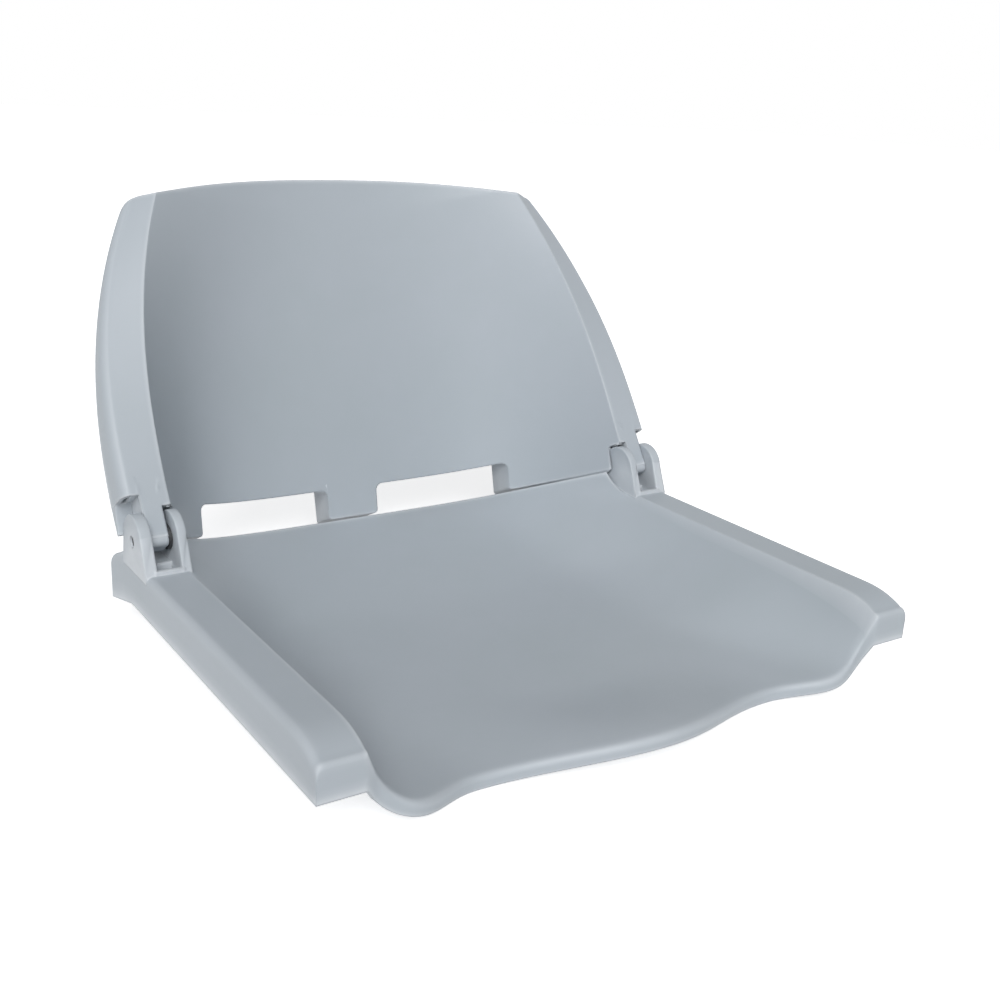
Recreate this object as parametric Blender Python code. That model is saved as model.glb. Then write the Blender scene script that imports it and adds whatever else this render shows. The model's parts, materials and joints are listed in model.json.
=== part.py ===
"""Folding boat seat: a dished seat pan between two rails and a tub-shaped backrest.

Units are metres, +Z is up, +X is to the sitter's left and -Y is to the front.
The origin is the middle of the pedestal mounting pattern, on the underside of the seat pan.
The backrest turns about the hinge pins, and its object origin lies on that axis.
"""
import math

import bmesh
import bpy
from mathutils import Vector

MM = 0.001

# Seat pan and rails
SEAT_WIDTH = 470 * MM
WALL = 3.5 * MM
EDGE_ROUND = 5 * MM
RAIL_WIDTH = 31 * MM
RAIL_TOP = 66 * MM
RAIL_DEPTH = 32 * MM
RAIL_FRONT = -195 * MM
NOSE_LENGTH = 40 * MM
NOSE_DROP = 10 * MM
NOSE_POWER = 2.5
SIDE_RUN = 72 * MM
SIDE_RUN_FRONT = 56 * MM
SIDE_POWER = 3.2
STEEP_SHARE = 0.35
PAN_FLOOR = 18 * MM
FLOOR_SIDE_RISE = 6 * MM
LIP_Y = -177.5 * MM
LIP_HEIGHT = 9 * MM
LIP_ROUND = 4 * MM
LOBE_X = 173 * MM
LOBE_REACH = 18 * MM
SCOOP_X = 121 * MM
POMMEL_REACH = 34.5 * MM
POMMEL_RISE = 15 * MM
LOBE_RISE = 6 * MM
LIP_LOW = 1 * MM
REAR_GAP = 1.6 * MM

# Hinge
PIN_Y = 103 * MM
PIN_Z = 83.5 * MM
PIN_RADIUS = 4 * MM
PIN_FIT = 0.3 * MM
PIN_RECESS = 1.5 * MM
PIN_SEAT = 4.5 * MM
BUSH_WALL = 2 * MM
BUSH_FLANGE_RADIUS = 9 * MM
BUSH_FIT = 0.3 * MM
OUTER_EAR = 8.6 * MM
INNER_EAR = 6.9 * MM
TONGUE_WIDTH = 14.4 * MM
OUTER_GAP = 0.6 * MM
INNER_GAP = 3 * MM
EAR_RADIUS = 19.5 * MM
EAR_FRONT_FOOT = 28 * MM
EAR_REAR_FOOT = 22 * MM
EAR_REAR_LIFT = 4 * MM
SILL_LENGTH = 4 * MM
SILL_HEIGHT = 3 * MM
POCKET_LENGTH = 22 * MM
POCKET_DEPTH = 8 * MM
STEP_LENGTH = 11 * MM
HEEL_LENGTH = 31 * MM
HEEL_DROP = 12 * MM
HEEL_FRONT = 16 * MM
HEEL_SLOPE = 12 * MM
SET_IN = 0.2 * MM
EAR_SOFT = 1.5 * MM

# Backrest
LEAN = math.radians(34)
TONGUE_FRONT = 9.6 * MM
TONGUE_DEPTH = 32 * MM
SIDE_DEPTH_TOP = 18 * MM
NOTCH_RISE = 31 * MM
NOTCH_REAR = 21.5 * MM
NOTCH_FROM = -5
NOTCH_TO = 50
HINGE_BLOCK = 50 * MM
HINGE_FOOT = 10.5 * MM
WING_END = 0.955
WING_STEP = 0.012
BORDER_WIDTH = 30 * MM
BORDER_TOP = 267 * MM
TOP_SLANT = 4 * MM
SIDE_TAPER = 53 * MM
TAPER_START = 36 * MM
TAPER_POWER = 3.0
PANEL_BOTTOM = 22 * MM
PANEL_TOP = 293.5 * MM
TOP_ARCH = 3
PANEL_DEPTH_BOTTOM = 135 * MM
PANEL_DEPTH_TOP = 28 * MM
SIDE_DIP = 23 * MM
DIP_POWER = 5.5
TUB_POWER_BOTTOM = 5
TUB_POWER_TOP = 2.4
CUT_INNER = 24 * MM
TAB_WIDTH = 56 * MM
CUT_HEIGHT = 24 * MM
CUT_ROUND = 6 * MM
RIM_DEPTH = 28 * MM
TOP_RIM_DEPTH = 16 * MM
RIM_RUN_ON = 16 * MM
PANEL_LEAN = math.radians(12)

# Underside mounting pattern
MOUNT_SPACING = 127 * MM
BOSS_RADIUS = 11 * MM
HUB_RADIUS = 24 * MM
RIB_WIDTH = 5 * MM
SKID_FRONT = -120 * MM
SKID_REAR = 150 * MM
INSERT_RADIUS = 5 * MM
INSERT_BORE = 2.6 * MM
INSERT_LENGTH = 11 * MM
INSERT_FIT = 0.3 * MM

# Fineness of the curved surfaces
ROUND_STEPS = 24
HUB_STEPS = 32
SKID_STEPS = 10
HEAD_STEPS = 12
NOTCH_STEPS = 6
TOE_STEPS = 8
CUT_STEPS = 5
WING_STEPS = 5
PANEL_ROWS = 12
PAN_COLUMNS = 10
PAN_ROWS = 15
SHARP_ANGLE = math.radians(35)
TINY = 1e-6

# Values that follow from the sizes above
HALF = SEAT_WIDTH / 2
RAIL_INNER = HALF - RAIL_WIDTH
RAIL_BOTTOM = RAIL_TOP - RAIL_DEPTH
OUTER_EAR_IN = HALF - OUTER_EAR
TONGUE_OUT = OUTER_EAR_IN - OUTER_GAP
TONGUE_IN = TONGUE_OUT - TONGUE_WIDTH
INNER_EAR_OUT = TONGUE_IN - INNER_GAP
INNER_EAR_IN = INNER_EAR_OUT - INNER_EAR
RAIL_END = PIN_Y + EAR_REAR_FOOT
HALF_MOUNT = MOUNT_SPACING / 2
CUT_OUTER = HALF - BORDER_WIDTH - TAB_WIDTH
RIM_END = CUT_OUTER + RIM_RUN_ON
CUT_ROW = CUT_HEIGHT / (PANEL_TOP - PANEL_BOTTOM)
SOFT_CORNER = EDGE_ROUND * (1 - math.sqrt(0.5))
HINGE = Vector((0, PIN_Y, PIN_Z))
PIN_HOLE = PIN_RADIUS + PIN_FIT
BUSH_RADIUS = PIN_HOLE + BUSH_WALL


def clear_scene():
    for old in list(bpy.data.objects):
        bpy.data.objects.remove(old)


def finish(name, colour, roughness, metallic=0.0):
    material = bpy.data.materials.new(name)
    material.use_nodes = True
    shader = material.node_tree.nodes["Principled BSDF"]
    shader.inputs["Base Color"].default_value = (*colour, 1.0)
    shader.inputs["Roughness"].default_value = roughness
    shader.inputs["Metallic"].default_value = metallic
    return material


def mesh_from(name, bm, origin=Vector()):
    """A mesh of the built shape, measured from the origin its object will have."""
    bmesh.ops.recalc_face_normals(bm, faces=bm.faces)
    bmesh.ops.translate(bm, verts=bm.verts, vec=-origin)
    mesh = bpy.data.meshes.new(name)
    bm.to_mesh(mesh)
    bm.free()
    return mesh


def place(name, mesh, origin=Vector(), parent=None, collection=None):
    """An object at a place in the world, carried by its parent."""
    made = bpy.data.objects.new(name, mesh)
    (collection or bpy.context.scene.collection).objects.link(made)
    made.location = origin - parent.location if parent else origin
    made.parent = parent
    return made


def coat(mesh, material):
    """Give a mesh its material, and shade it smooth except at its sharp edges."""
    mesh.materials.append(material)
    mesh.shade_smooth()
    mesh.set_sharp_from_angle(angle=SHARP_ANGLE)


def combine(target, name, shapes, operation):
    """Add helper shapes to a piece, or cut them from it, all in one step."""
    tools = bpy.data.collections.new(name)
    bpy.context.scene.collection.children.link(tools)
    for i, bm in enumerate(shapes):
        helper = place(f"{name}_{i}", mesh_from(f"{name}_{i}", bm), collection=tools)
        helper.hide_render = True
        helper.display_type = "WIRE"
    step = target.modifiers.new(name, "BOOLEAN")
    step.operation = operation
    step.operand_type = "COLLECTION"
    step.collection = tools
    step.solver = "EXACT"


def smooth(t):
    t = min(max(t, 0.0), 1.0)
    return t * t * (3 - 2 * t)


def mix(a, b, t):
    return a + (b - a) * t


def quarter(t):
    """Even steps round a quarter circle, seen from the side: close together near 1."""
    return math.sin(math.pi / 2 * t)


def grid(rows, skip=()):
    """An open sheet through rows of points, without the skipped cells. Points that coincide become one."""
    bm = bmesh.new()
    net = [[bm.verts.new(point) for point in row] for row in rows]
    for k, (low, high) in enumerate(zip(net, net[1:])):
        for i in range(len(low) - 1):
            if (k, i) not in skip:
                bm.faces.new((low[i], low[i + 1], high[i + 1], high[i]))
    loose = [vert for vert in bm.verts if not vert.link_faces]
    bmesh.ops.delete(bm, geom=loose, context="VERTS")
    bmesh.ops.remove_doubles(bm, verts=bm.verts, dist=TINY)
    return bm


def prism(outline, x_from, x_to, soft=0.0):
    """A flat outline of (y, z) points, extruded across from one x to another, with softened rims."""
    bm = bmesh.new()
    face = bm.faces.new([bm.verts.new((x_from, y, z)) for y, z in outline])
    rims = list(face.edges)
    grown = bmesh.ops.extrude_face_region(bm, geom=[face])["geom"]
    moved = [item for item in grown if isinstance(item, bmesh.types.BMVert)]
    rims += [item for item in grown if isinstance(item, bmesh.types.BMEdge)]
    bmesh.ops.translate(bm, verts=moved, vec=(x_to - x_from, 0, 0))
    if soft:
        bmesh.ops.bevel(bm, geom=rims, offset=soft, segments=2, profile=0.5, affect="EDGES")
    return bm


def box(x0, x1, y0, y1, z0, z1):
    return prism([(y0, z0), (y1, z0), (y1, z1), (y0, z1)], x0, x1)


def about_pin(radius, degrees):
    """The (y, z) point at a radius and direction from the pin, from +Y towards +Z."""
    angle = math.radians(degrees)
    return (PIN_Y + radius * math.cos(angle), PIN_Z + radius * math.sin(angle))


def turned(profile, centre, axis, segments=ROUND_STEPS):
    """A closed (radius, height) outline spun about an axis, 'X' or 'Z'."""
    bm = bmesh.new()
    rings = []
    for i in range(segments):
        angle = 2 * math.pi * i / segments
        c, s = math.cos(angle), math.sin(angle)
        ring = []
        for radius, height in profile:
            offset = (height, radius * c, radius * s) if axis == "X" else (radius * c, radius * s, height)
            ring.append(bm.verts.new(Vector(centre) + Vector(offset)))
        rings.append(ring)
    count = len(profile)
    for i in range(segments):
        a, b = rings[i], rings[(i + 1) % segments]
        for k in range(count):
            bm.faces.new((a[k], a[(k + 1) % count], b[(k + 1) % count], b[k]))
    bmesh.ops.remove_doubles(bm, verts=bm.verts, dist=TINY)
    return bm


def rod(radius, x_from, x_to):
    """A round bar along the hinge axis."""
    profile = [(0, x_from), (radius, x_from), (radius, x_to), (0, x_to)]
    return turned(profile, HINGE, "X")


# Backrest surface, in a frame that leans with the border: rise along it and depth behind it


def leaning(x, rise, depth):
    back = depth - TONGUE_FRONT
    y = PIN_Y + back * math.cos(LEAN) + rise * math.sin(LEAN)
    z = PIN_Z - back * math.sin(LEAN) + rise * math.cos(LEAN)
    return (x, y, z)


def border_outer(rise):
    """Half the backrest's width at a rise up the border."""
    t = max(0.0, (rise - TAPER_START) / (BORDER_TOP - TAPER_START))
    return HALF - SIDE_TAPER * t ** TAPER_POWER


def panel_bottom(share):
    return PANEL_BOTTOM - SIDE_DIP * share ** DIP_POWER


def panel_top(share):
    return mix(PANEL_TOP, BORDER_TOP, share ** TOP_ARCH)


def panel_point(share, up):
    """A point of the panel: share is 0 in the middle and 1 at the border, up is 0 at the bottom edge."""
    bottom = panel_bottom(share) if share <= WING_END else NOTCH_RISE
    rise = mix(bottom, panel_top(share), up)
    inner = border_outer(min(rise, BORDER_TOP)) - BORDER_WIDTH
    power = mix(TUB_POWER_BOTTOM, TUB_POWER_TOP, up)
    depth = mix(PANEL_DEPTH_BOTTOM, PANEL_DEPTH_TOP, up) * (1 - share ** power)
    return inner * share, rise, depth


def border_points(up):
    """The border from its inner edge to the side wall. Its edge is rounded below the top corner."""
    rise = mix(NOTCH_RISE, BORDER_TOP, up)
    outer = border_outer(rise)
    if up == 1:
        corner = (outer, rise - TOP_SLANT, 0.0)
        inner = (outer - BORDER_WIDTH, rise, 0.0)
        return [inner, (outer - EDGE_ROUND, rise - TOP_SLANT, 0.0), corner, corner]
    return [
        (outer - BORDER_WIDTH, rise, 0.0),
        (outer - EDGE_ROUND, rise, 0.0),
        (outer - SOFT_CORNER, rise, SOFT_CORNER),
        (outer, rise, EDGE_ROUND),
    ]


def cut_share(x):
    return x / (HALF - BORDER_WIDTH)


def panel_shares():
    """Columns from the middle to the border: even across the cut-out, then closer where the wing turns in."""
    inner, outer = cut_share(CUT_INNER), cut_share(CUT_OUTER)
    across = [mix(inner, outer, i / CUT_STEPS) for i in range(CUT_STEPS)]
    wing = [mix(outer, WING_END, quarter(i / WING_STEPS)) for i in range(WING_STEPS + 1)]
    return [0.0] + across + wing + [WING_END + WING_STEP]


def panel_ups():
    """Rows from the bottom edge to the top: first the height of the cut-outs, then even steps."""
    return [0.0] + [mix(CUT_ROW, 1.0, i / PANEL_ROWS) for i in range(PANEL_ROWS + 1)]


def backrest_row(up):
    side = [panel_point(share, up) for share in panel_shares()] + border_points(up)
    left = [leaning(-x, rise, depth) for x, rise, depth in reversed(side[1:])]
    return left + [leaning(x, rise, depth) for x, rise, depth in side]


def cutout_cells():
    """The cells of the sheet's bottom row that lie in the two cut-outs."""
    middle = len(panel_shares()) + len(border_points(0.0)) - 1
    right = [(0, middle + i) for i in range(1, CUT_STEPS + 1)]
    left = [(0, middle - 1 - i) for i in range(1, CUT_STEPS + 1)]
    return right + left


def rim_offset(point):
    """How far the rim runs back from an edge point: square to the border at the sides, else to the panel."""
    rise = (point.y - PIN_Y) * math.sin(LEAN) + (point.z - PIN_Z) * math.cos(LEAN)
    side = smooth((abs(point.x) - border_outer(min(rise, BORDER_TOP)) + BORDER_WIDTH) / BORDER_WIDTH)
    top = smooth(rise / BORDER_TOP)
    wall = mix(TONGUE_DEPTH, SIDE_DEPTH_TOP, top) - EDGE_ROUND
    depth = mix(mix(RIM_DEPTH, TOP_RIM_DEPTH, top), wall, side)
    lean = mix(PANEL_LEAN, LEAN, side)
    return Vector((0, math.cos(lean), -math.sin(lean))) * depth


def has_rim(edge):
    """Whether a free edge of the sheet is turned back: all but the bottom edge beside the hinges."""
    middle = (edge.verts[0].co + edge.verts[1].co) / 2
    low = max(vert.co.z for vert in edge.verts) < leaning(0, NOTCH_RISE, 0.0)[2] + TINY
    return edge.is_boundary and not (low and abs(middle.x) > RIM_END)


def add_rim(bm):
    """Turn the free edges of the sheet back, as the moulding's rim."""
    edges = [edge for edge in bm.edges if has_rim(edge)]
    grown = bmesh.ops.extrude_edge_only(bm, edges=edges)["geom"]
    for vert in grown:
        if isinstance(vert, bmesh.types.BMVert):
            vert.co += rim_offset(vert.co)


def round_cutouts(bm):
    """Round the upper corners of the cut-outs along the rim."""
    corners = []
    for x in (-CUT_OUTER, -CUT_INNER, CUT_INNER, CUT_OUTER):
        spot = panel_point(cut_share(abs(x)), CUT_ROW)
        start = Vector(leaning(math.copysign(spot[0], x), spot[1], spot[2]))
        end = start + rim_offset(start)
        for edge in bm.edges:
            to_start = min((vert.co - start).length for vert in edge.verts)
            to_end = min((vert.co - end).length for vert in edge.verts)
            if max(to_start, to_end) < TINY:
                corners.append(edge)
    bmesh.ops.bevel(bm, geom=corners, offset=CUT_ROUND, segments=3, profile=0.5, affect="EDGES")
    bmesh.ops.triangulate(bm, faces=[face for face in bm.faces if len(face.verts) > 4])


def tongue_outline():
    """Side view of a hinge tongue: just inside the border's depth, round at the pin."""
    front, rear = SET_IN, TONGUE_DEPTH - SET_IN
    radius = TONGUE_FRONT - SET_IN
    flat = [(front, HINGE_BLOCK), (front, 0.0)]
    for i in range(1, TOE_STEPS + 1):
        angle = math.pi / 2 * i / TOE_STEPS
        flat.append((TONGUE_FRONT - radius * math.cos(angle), -radius * math.sin(angle)))
    flat += [(rear - radius, -radius), (rear, 0.0), (rear, HINGE_BLOCK)]
    return [leaning(0, rise, depth)[1:] for depth, rise in flat]


def hinge_block_outline():
    """Side view of the solid strip behind the ears, hollowed to clear their heads."""
    rear = TONGUE_DEPTH - 2 * SET_IN
    hollow = []
    for i in range(NOTCH_STEPS + 1):
        hollow.append(about_pin(NOTCH_REAR, mix(NOTCH_FROM, NOTCH_TO, i / NOTCH_STEPS)))
    low = leaning(0, HINGE_FOOT, rear)[1:]
    top = [leaning(0, HINGE_BLOCK - WALL, depth)[1:] for depth in (TONGUE_FRONT, rear)]
    return hollow + top + [low]


def make_backrest(material):
    bm = grid([backrest_row(up) for up in panel_ups()], cutout_cells())
    add_rim(bm)
    round_cutouts(bm)
    mesh = mesh_from("backrest", bm, HINGE)
    coat(mesh, material)
    made = place("backrest", mesh, HINGE)
    face_towards(mesh, Vector((0, -1, 0)))
    shell(made)
    adds, cuts = [], []
    for side in (-1, 1):
        adds.append(prism(tongue_outline(), side * TONGUE_IN, side * TONGUE_OUT))
        adds.append(prism(hinge_block_outline(), side * (RAIL_INNER + SET_IN), side * (HALF - SET_IN)))
        cuts.append(rod(BUSH_RADIUS + BUSH_FIT, side * (TONGUE_IN - WALL), side * (TONGUE_OUT + WALL)))
    combine(made, "hinge_add", adds, "UNION")
    combine(made, "hinge_cut", cuts, "DIFFERENCE")
    return made


def face_towards(mesh, direction):
    """Turn a sheet's faces to the given side, so that its wall grows away from it."""
    facing = sum(face.normal.dot(direction) * face.area for face in mesh.polygons)
    if facing < 0:
        mesh.flip_normals()


def shell(made):
    wall = made.modifiers.new("wall", "SOLIDIFY")
    wall.thickness = WALL
    wall.offset = -1
    wall.solidify_mode = "NON_MANIFOLD"
    wall.nonmanifold_thickness_mode = "FIXED"


# Seat pan surface


def rail_top(y):
    """Height of a rail: level, then rounded off over its nose."""
    t = max(0.0, (RAIL_FRONT + NOSE_LENGTH - y) / NOSE_LENGTH)
    return RAIL_TOP - NOSE_DROP * t ** NOSE_POWER


def side_blend(x, v):
    """0 at a rail's inner edge, 1 on the pan floor, bowl-shaped between. The side is steeper at the front."""
    run = mix(SIDE_RUN_FRONT, SIDE_RUN, smooth(v / STEEP_SHARE))
    t = min(max(1 - (RAIL_INNER - abs(x)) / run, 0.0), 1.0)
    return 1 - t ** SIDE_POWER


def hump(distance, reach):
    """1 at no distance, falling smoothly to 0 at the reach."""
    return 0.5 + 0.5 * math.cos(math.pi * min(abs(distance) / reach, 1.0))


def lip_front(x):
    reach = POMMEL_REACH * hump(x, SCOOP_X) + LOBE_REACH * hump(abs(x) - LOBE_X, LOBE_X - SCOOP_X)
    return mix(RAIL_FRONT, LIP_Y - reach, side_blend(x, 0.0))


def lip_base(x):
    lobe = LOBE_RISE * hump(abs(x) - LOBE_X, LOBE_X - SCOOP_X)
    return LIP_LOW + POMMEL_RISE * hump(x, SCOOP_X) + lobe


def lip_bottom(x):
    return mix(RAIL_BOTTOM, lip_base(x), side_blend(x, 0.0))


def lip_top(x):
    return mix(rail_top(RAIL_FRONT), lip_base(x) + LIP_HEIGHT, side_blend(x, 0.0))


def rear_edge(x):
    """The pan's rear edge lies just under the backrest's bottom edge."""
    share = abs(x) / (HALF - BORDER_WIDTH)
    depth = PANEL_DEPTH_BOTTOM * (1 - share ** TUB_POWER_BOTTOM)
    return leaning(x, panel_bottom(share) - REAR_GAP, depth)


def pan_point(x, v):
    """A point of the pan: v is 0 at the front lip and 1 at the rear edge."""
    _, rear_y, rear_z = rear_edge(x)
    front_z = lip_base(x) + LIP_HEIGHT
    floor = PAN_FLOOR + FLOOR_SIDE_RISE * (x / RAIL_INNER) ** 2
    middle = 2 * floor - 0.5 * (front_z + rear_z)
    y = mix(lip_front(x), rear_y, v)
    dish = (1 - v) ** 2 * front_z + 2 * v * (1 - v) * middle + v * v * rear_z
    blend = mix(side_blend(x, v), 1.0, v ** 8)
    return (x, y, mix(rail_top(y), dish, blend))


def rail_point(x, v, lower=0.0):
    y = mix(RAIL_FRONT, RAIL_END, v)
    return (x, y, rail_top(y) - lower)


def pan_xs():
    """Columns from the middle of the pan to just short of the rail, closer at the side."""
    return [RAIL_INNER * quarter(i / PAN_COLUMNS) for i in range(PAN_COLUMNS - 1)]


def pan_vs():
    """Rows from just behind the front edge to the rear edge, closer at both ends."""
    start = LIP_ROUND / (RAIL_END - RAIL_FRONT)
    return [mix(start, 1.0, mix(i / PAN_ROWS, smooth(i / PAN_ROWS), 0.5)) for i in range(PAN_ROWS + 1)]


def rail_columns():
    """Across a rail from its inner edge: position, and how far below the top."""
    return [
        (RAIL_INNER, 0.0),
        (HALF - EDGE_ROUND, 0.0),
        (HALF - SOFT_CORNER, SOFT_CORNER),
        (HALF, EDGE_ROUND),
    ]


def both_sides(side):
    left = [(-x, y, z) for x, y, z in reversed(side[1:])]
    return left + side


def pan_row(v):
    side = [pan_point(x, v) for x in pan_xs()]
    side += [rail_point(x, v, lower) for x, lower in rail_columns()]
    foot = rail_point(HALF, v)
    side.append((HALF, foot[1], RAIL_BOTTOM))
    return both_sides(side)


def front_row(lift):
    """A row on the front face: lift is 0 at its bottom edge and 1 at the rounded top edge."""
    side = []
    for x in pan_xs() + [RAIL_INNER, HALF - EDGE_ROUND]:
        side.append((x, lip_front(x), mix(lip_bottom(x), lip_top(x) - LIP_ROUND, lift)))
    edge = mix(RAIL_BOTTOM, rail_top(RAIL_FRONT) - EDGE_ROUND, lift)
    corner = (HALF, RAIL_FRONT, edge)
    return both_sides(side + [corner, corner, (HALF, RAIL_FRONT, RAIL_BOTTOM)])


def rear_row():
    """The end walls of the rails. Behind the pan this row lies on its rear edge."""
    side = [pan_point(x, 1.0) for x in pan_xs()]
    side += [(x, RAIL_END, RAIL_BOTTOM) for x, _ in rail_columns()]
    side.append((HALF, RAIL_END, RAIL_BOTTOM))
    return both_sides(side)


def ear_outline():
    """Side view of a hinge ear: a foot on the rail, sloping up to a round head about the pin."""
    front = (PIN_Y - EAR_FRONT_FOOT, RAIL_TOP)
    rear = (RAIL_END, RAIL_TOP + EAR_REAR_LIFT)
    start = tangent_angle(rear, -1)
    end = tangent_angle(front, 1)
    head = [about_pin(EAR_RADIUS, mix(start, end, i / HEAD_STEPS)) for i in range(HEAD_STEPS + 1)]
    root = RAIL_TOP - WALL
    return [(rear[0], root), rear] + head + [front, (front[0], root)]


def tangent_angle(point, turn):
    """Direction from the pin to where a line from a point touches the ear's head, in degrees."""
    dy, dz = point[0] - PIN_Y, point[1] - PIN_Z
    towards = math.atan2(dz, dy)
    if turn > 0 and towards < 0:
        towards += 2 * math.pi
    opening = math.acos(min(1.0, EAR_RADIUS / math.hypot(dy, dz)))
    return math.degrees(towards - turn * opening)


def heel_outline():
    rear = RAIL_END + HEEL_LENGTH
    low = RAIL_BOTTOM - HEEL_DROP
    top = RAIL_TOP + EAR_REAR_LIFT
    return [
        (RAIL_END - WALL, top),
        (RAIL_END, top),
        (rear - EDGE_ROUND, top - HEEL_SLOPE),
        (rear, top - HEEL_SLOPE - EDGE_ROUND),
        (rear, low),
        (RAIL_END - HEEL_FRONT, RAIL_BOTTOM - SET_IN),
        (RAIL_END - HEEL_FRONT, RAIL_BOTTOM + WALL),
    ]


def hinge_adds(side):
    """Shapes added to a rail for one hinge: two ears, the sill between them, a slot floor and the heel."""
    front = PIN_Y - EAR_FRONT_FOOT
    outer, inner = side * OUTER_EAR_IN, side * INNER_EAR_OUT
    bed = RAIL_TOP - POCKET_DEPTH - WALL
    sill_top = RAIL_TOP + SILL_HEIGHT
    bed_outer = side * (HALF - WALL / 2)
    bed_rear = front + POCKET_LENGTH + WALL
    return [
        prism(ear_outline(), outer, side * (HALF - SET_IN), EAR_SOFT),
        prism(ear_outline(), side * INNER_EAR_IN, inner, EAR_SOFT),
        box(inner - side * WALL, outer + side * WALL, front + SET_IN, front + SILL_LENGTH, bed, sill_top),
        box(side * INNER_EAR_IN, bed_outer, front + 2 * SET_IN, bed_rear, bed - SET_IN, RAIL_TOP - WALL / 2),
        prism(heel_outline(), side * (RAIL_INNER + SET_IN), side * (HALF - 2 * SET_IN)),
    ]


def hinge_cuts(side):
    """Shapes cut from a rail for one hinge: the stepped slot, the pin's hole and the inside of the heel."""
    front = PIN_Y - EAR_FRONT_FOOT
    outer, inner = side * OUTER_EAR_IN, side * INNER_EAR_OUT
    start = front + SILL_LENGTH
    step = start + STEP_LENGTH
    above = RAIL_TOP + 2 * WALL
    heel_in, heel_out = side * (RAIL_INNER + WALL), side * (HALF - WALL)
    heel_rear = RAIL_END + HEEL_LENGTH - WALL
    heel_top = RAIL_TOP - HEEL_SLOPE - EDGE_ROUND
    return [
        box(inner, outer, start, step, RAIL_TOP - POCKET_DEPTH / 2, above),
        box(inner, outer, step - MM, front + POCKET_LENGTH, RAIL_TOP - POCKET_DEPTH, above),
        rod(PIN_HOLE, side * (INNER_EAR_OUT - PIN_SEAT), side * (HALF + WALL)),
        box(heel_in, heel_out, RAIL_END + WALL, heel_rear, 0, heel_top),
    ]


def skin_height(x, y):
    """Height of the pan's upper face above a point of the underside."""
    front = lip_front(x)
    v = (y - front) / (rear_edge(x)[1] - front)
    return pan_point(x, v)[2]


def skid_outline(x):
    """Side view of a rib along the underside, its top edge inside the pan's wall."""
    outline = [(SKID_FRONT, 0.0), (SKID_REAR, 0.0)]
    for i in range(SKID_STEPS + 1):
        y = mix(SKID_REAR, SKID_FRONT, i / SKID_STEPS)
        outline.append((y, skin_height(x, y) - WALL / 2))
    return outline


def disc(radius, height, x, y, segments=ROUND_STEPS):
    return turned([(0, 0), (radius, 0), (radius, height), (0, height)], (x, y, 0), "Z", segments)


def underside():
    """Bosses, ribs and hub that carry the pedestal plate, up to the inside of the pan's wall."""
    roof = PAN_FLOOR - WALL / 2
    half_rib = RIB_WIDTH / 2
    adds = [disc(HUB_RADIUS, roof, 0, 0, HUB_STEPS)]
    adds += [disc(BOSS_RADIUS, roof, x, y) for x, y in insert_places()]
    adds += [prism(skid_outline(x), x - half_rib, x + half_rib) for x in (-HALF_MOUNT, HALF_MOUNT)]
    for y in (-HALF_MOUNT, 0, HALF_MOUNT):
        adds.append(box(-HALF_MOUNT, HALF_MOUNT, y - half_rib, y + half_rib, 0, roof))
    return adds


def insert_places():
    return [(x, y) for y in (-HALF_MOUNT, HALF_MOUNT) for x in (-HALF_MOUNT, HALF_MOUNT)]


def insert_holes():
    hole = INSERT_RADIUS + INSERT_FIT
    depth = INSERT_LENGTH + 2 * INSERT_FIT
    profile = [(0, -WALL), (hole, -WALL), (hole, depth), (0, depth)]
    return [turned(profile, (x, y, 0), "Z") for x, y in insert_places()]


def make_seat_pan(material):
    rows = [front_row(0.0), front_row(1.0)] + [pan_row(v) for v in pan_vs()] + [rear_row()]
    mesh = mesh_from("seat_pan", grid(rows))
    coat(mesh, material)
    made = place("seat_pan", mesh)
    face_towards(mesh, Vector((0, 0, 1)))
    shell(made)
    adds, cuts = underside(), insert_holes()
    for side in (-1, 1):
        adds += hinge_adds(side)
        cuts += hinge_cuts(side)
    combine(made, "seat_add", adds, "UNION")
    combine(made, "seat_cut", cuts, "DIFFERENCE")
    return made


def make_pin(side, name, material, seat_pan):
    """A pin through both ears, set a little below the outer ear's face."""
    start = side * (INNER_EAR_OUT - PIN_SEAT + PIN_FIT)
    origin = HINGE + Vector((start, 0, 0))
    mesh = mesh_from(name, rod(PIN_RADIUS, start, side * (HALF - PIN_RECESS)), origin)
    coat(mesh, material)
    place(name, mesh, origin, seat_pan)


def make_bush(side, name, material, backrest):
    """A flanged bush in the tongue. Its flange fills the gap to the inner ear."""
    flange = side * (TONGUE_IN - INNER_GAP + BUSH_FIT)
    neck = side * (TONGUE_IN - BUSH_FIT)
    tip = side * TONGUE_OUT
    profile = [
        (PIN_HOLE, flange),
        (BUSH_FLANGE_RADIUS, flange),
        (BUSH_FLANGE_RADIUS, neck),
        (BUSH_RADIUS, neck),
        (BUSH_RADIUS, tip),
        (PIN_HOLE, tip),
    ]
    origin = HINGE + Vector((flange, 0, 0))
    mesh = mesh_from(name, turned(profile, HINGE, "X"), origin)
    coat(mesh, material)
    place(name, mesh, origin, backrest)


def make_inserts(material, seat_pan):
    """Four threaded inserts of one shape, flush with the underside."""
    profile = [
        (INSERT_BORE, 0),
        (INSERT_RADIUS, 0),
        (INSERT_RADIUS, INSERT_LENGTH),
        (INSERT_BORE, INSERT_LENGTH),
    ]
    mesh = mesh_from("mount_insert", turned(profile, Vector(), "Z"))
    coat(mesh, material)
    for i, (x, y) in enumerate(insert_places()):
        place(f"mount_insert_{i + 1}", mesh, Vector((x, y, 0)), seat_pan)


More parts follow.
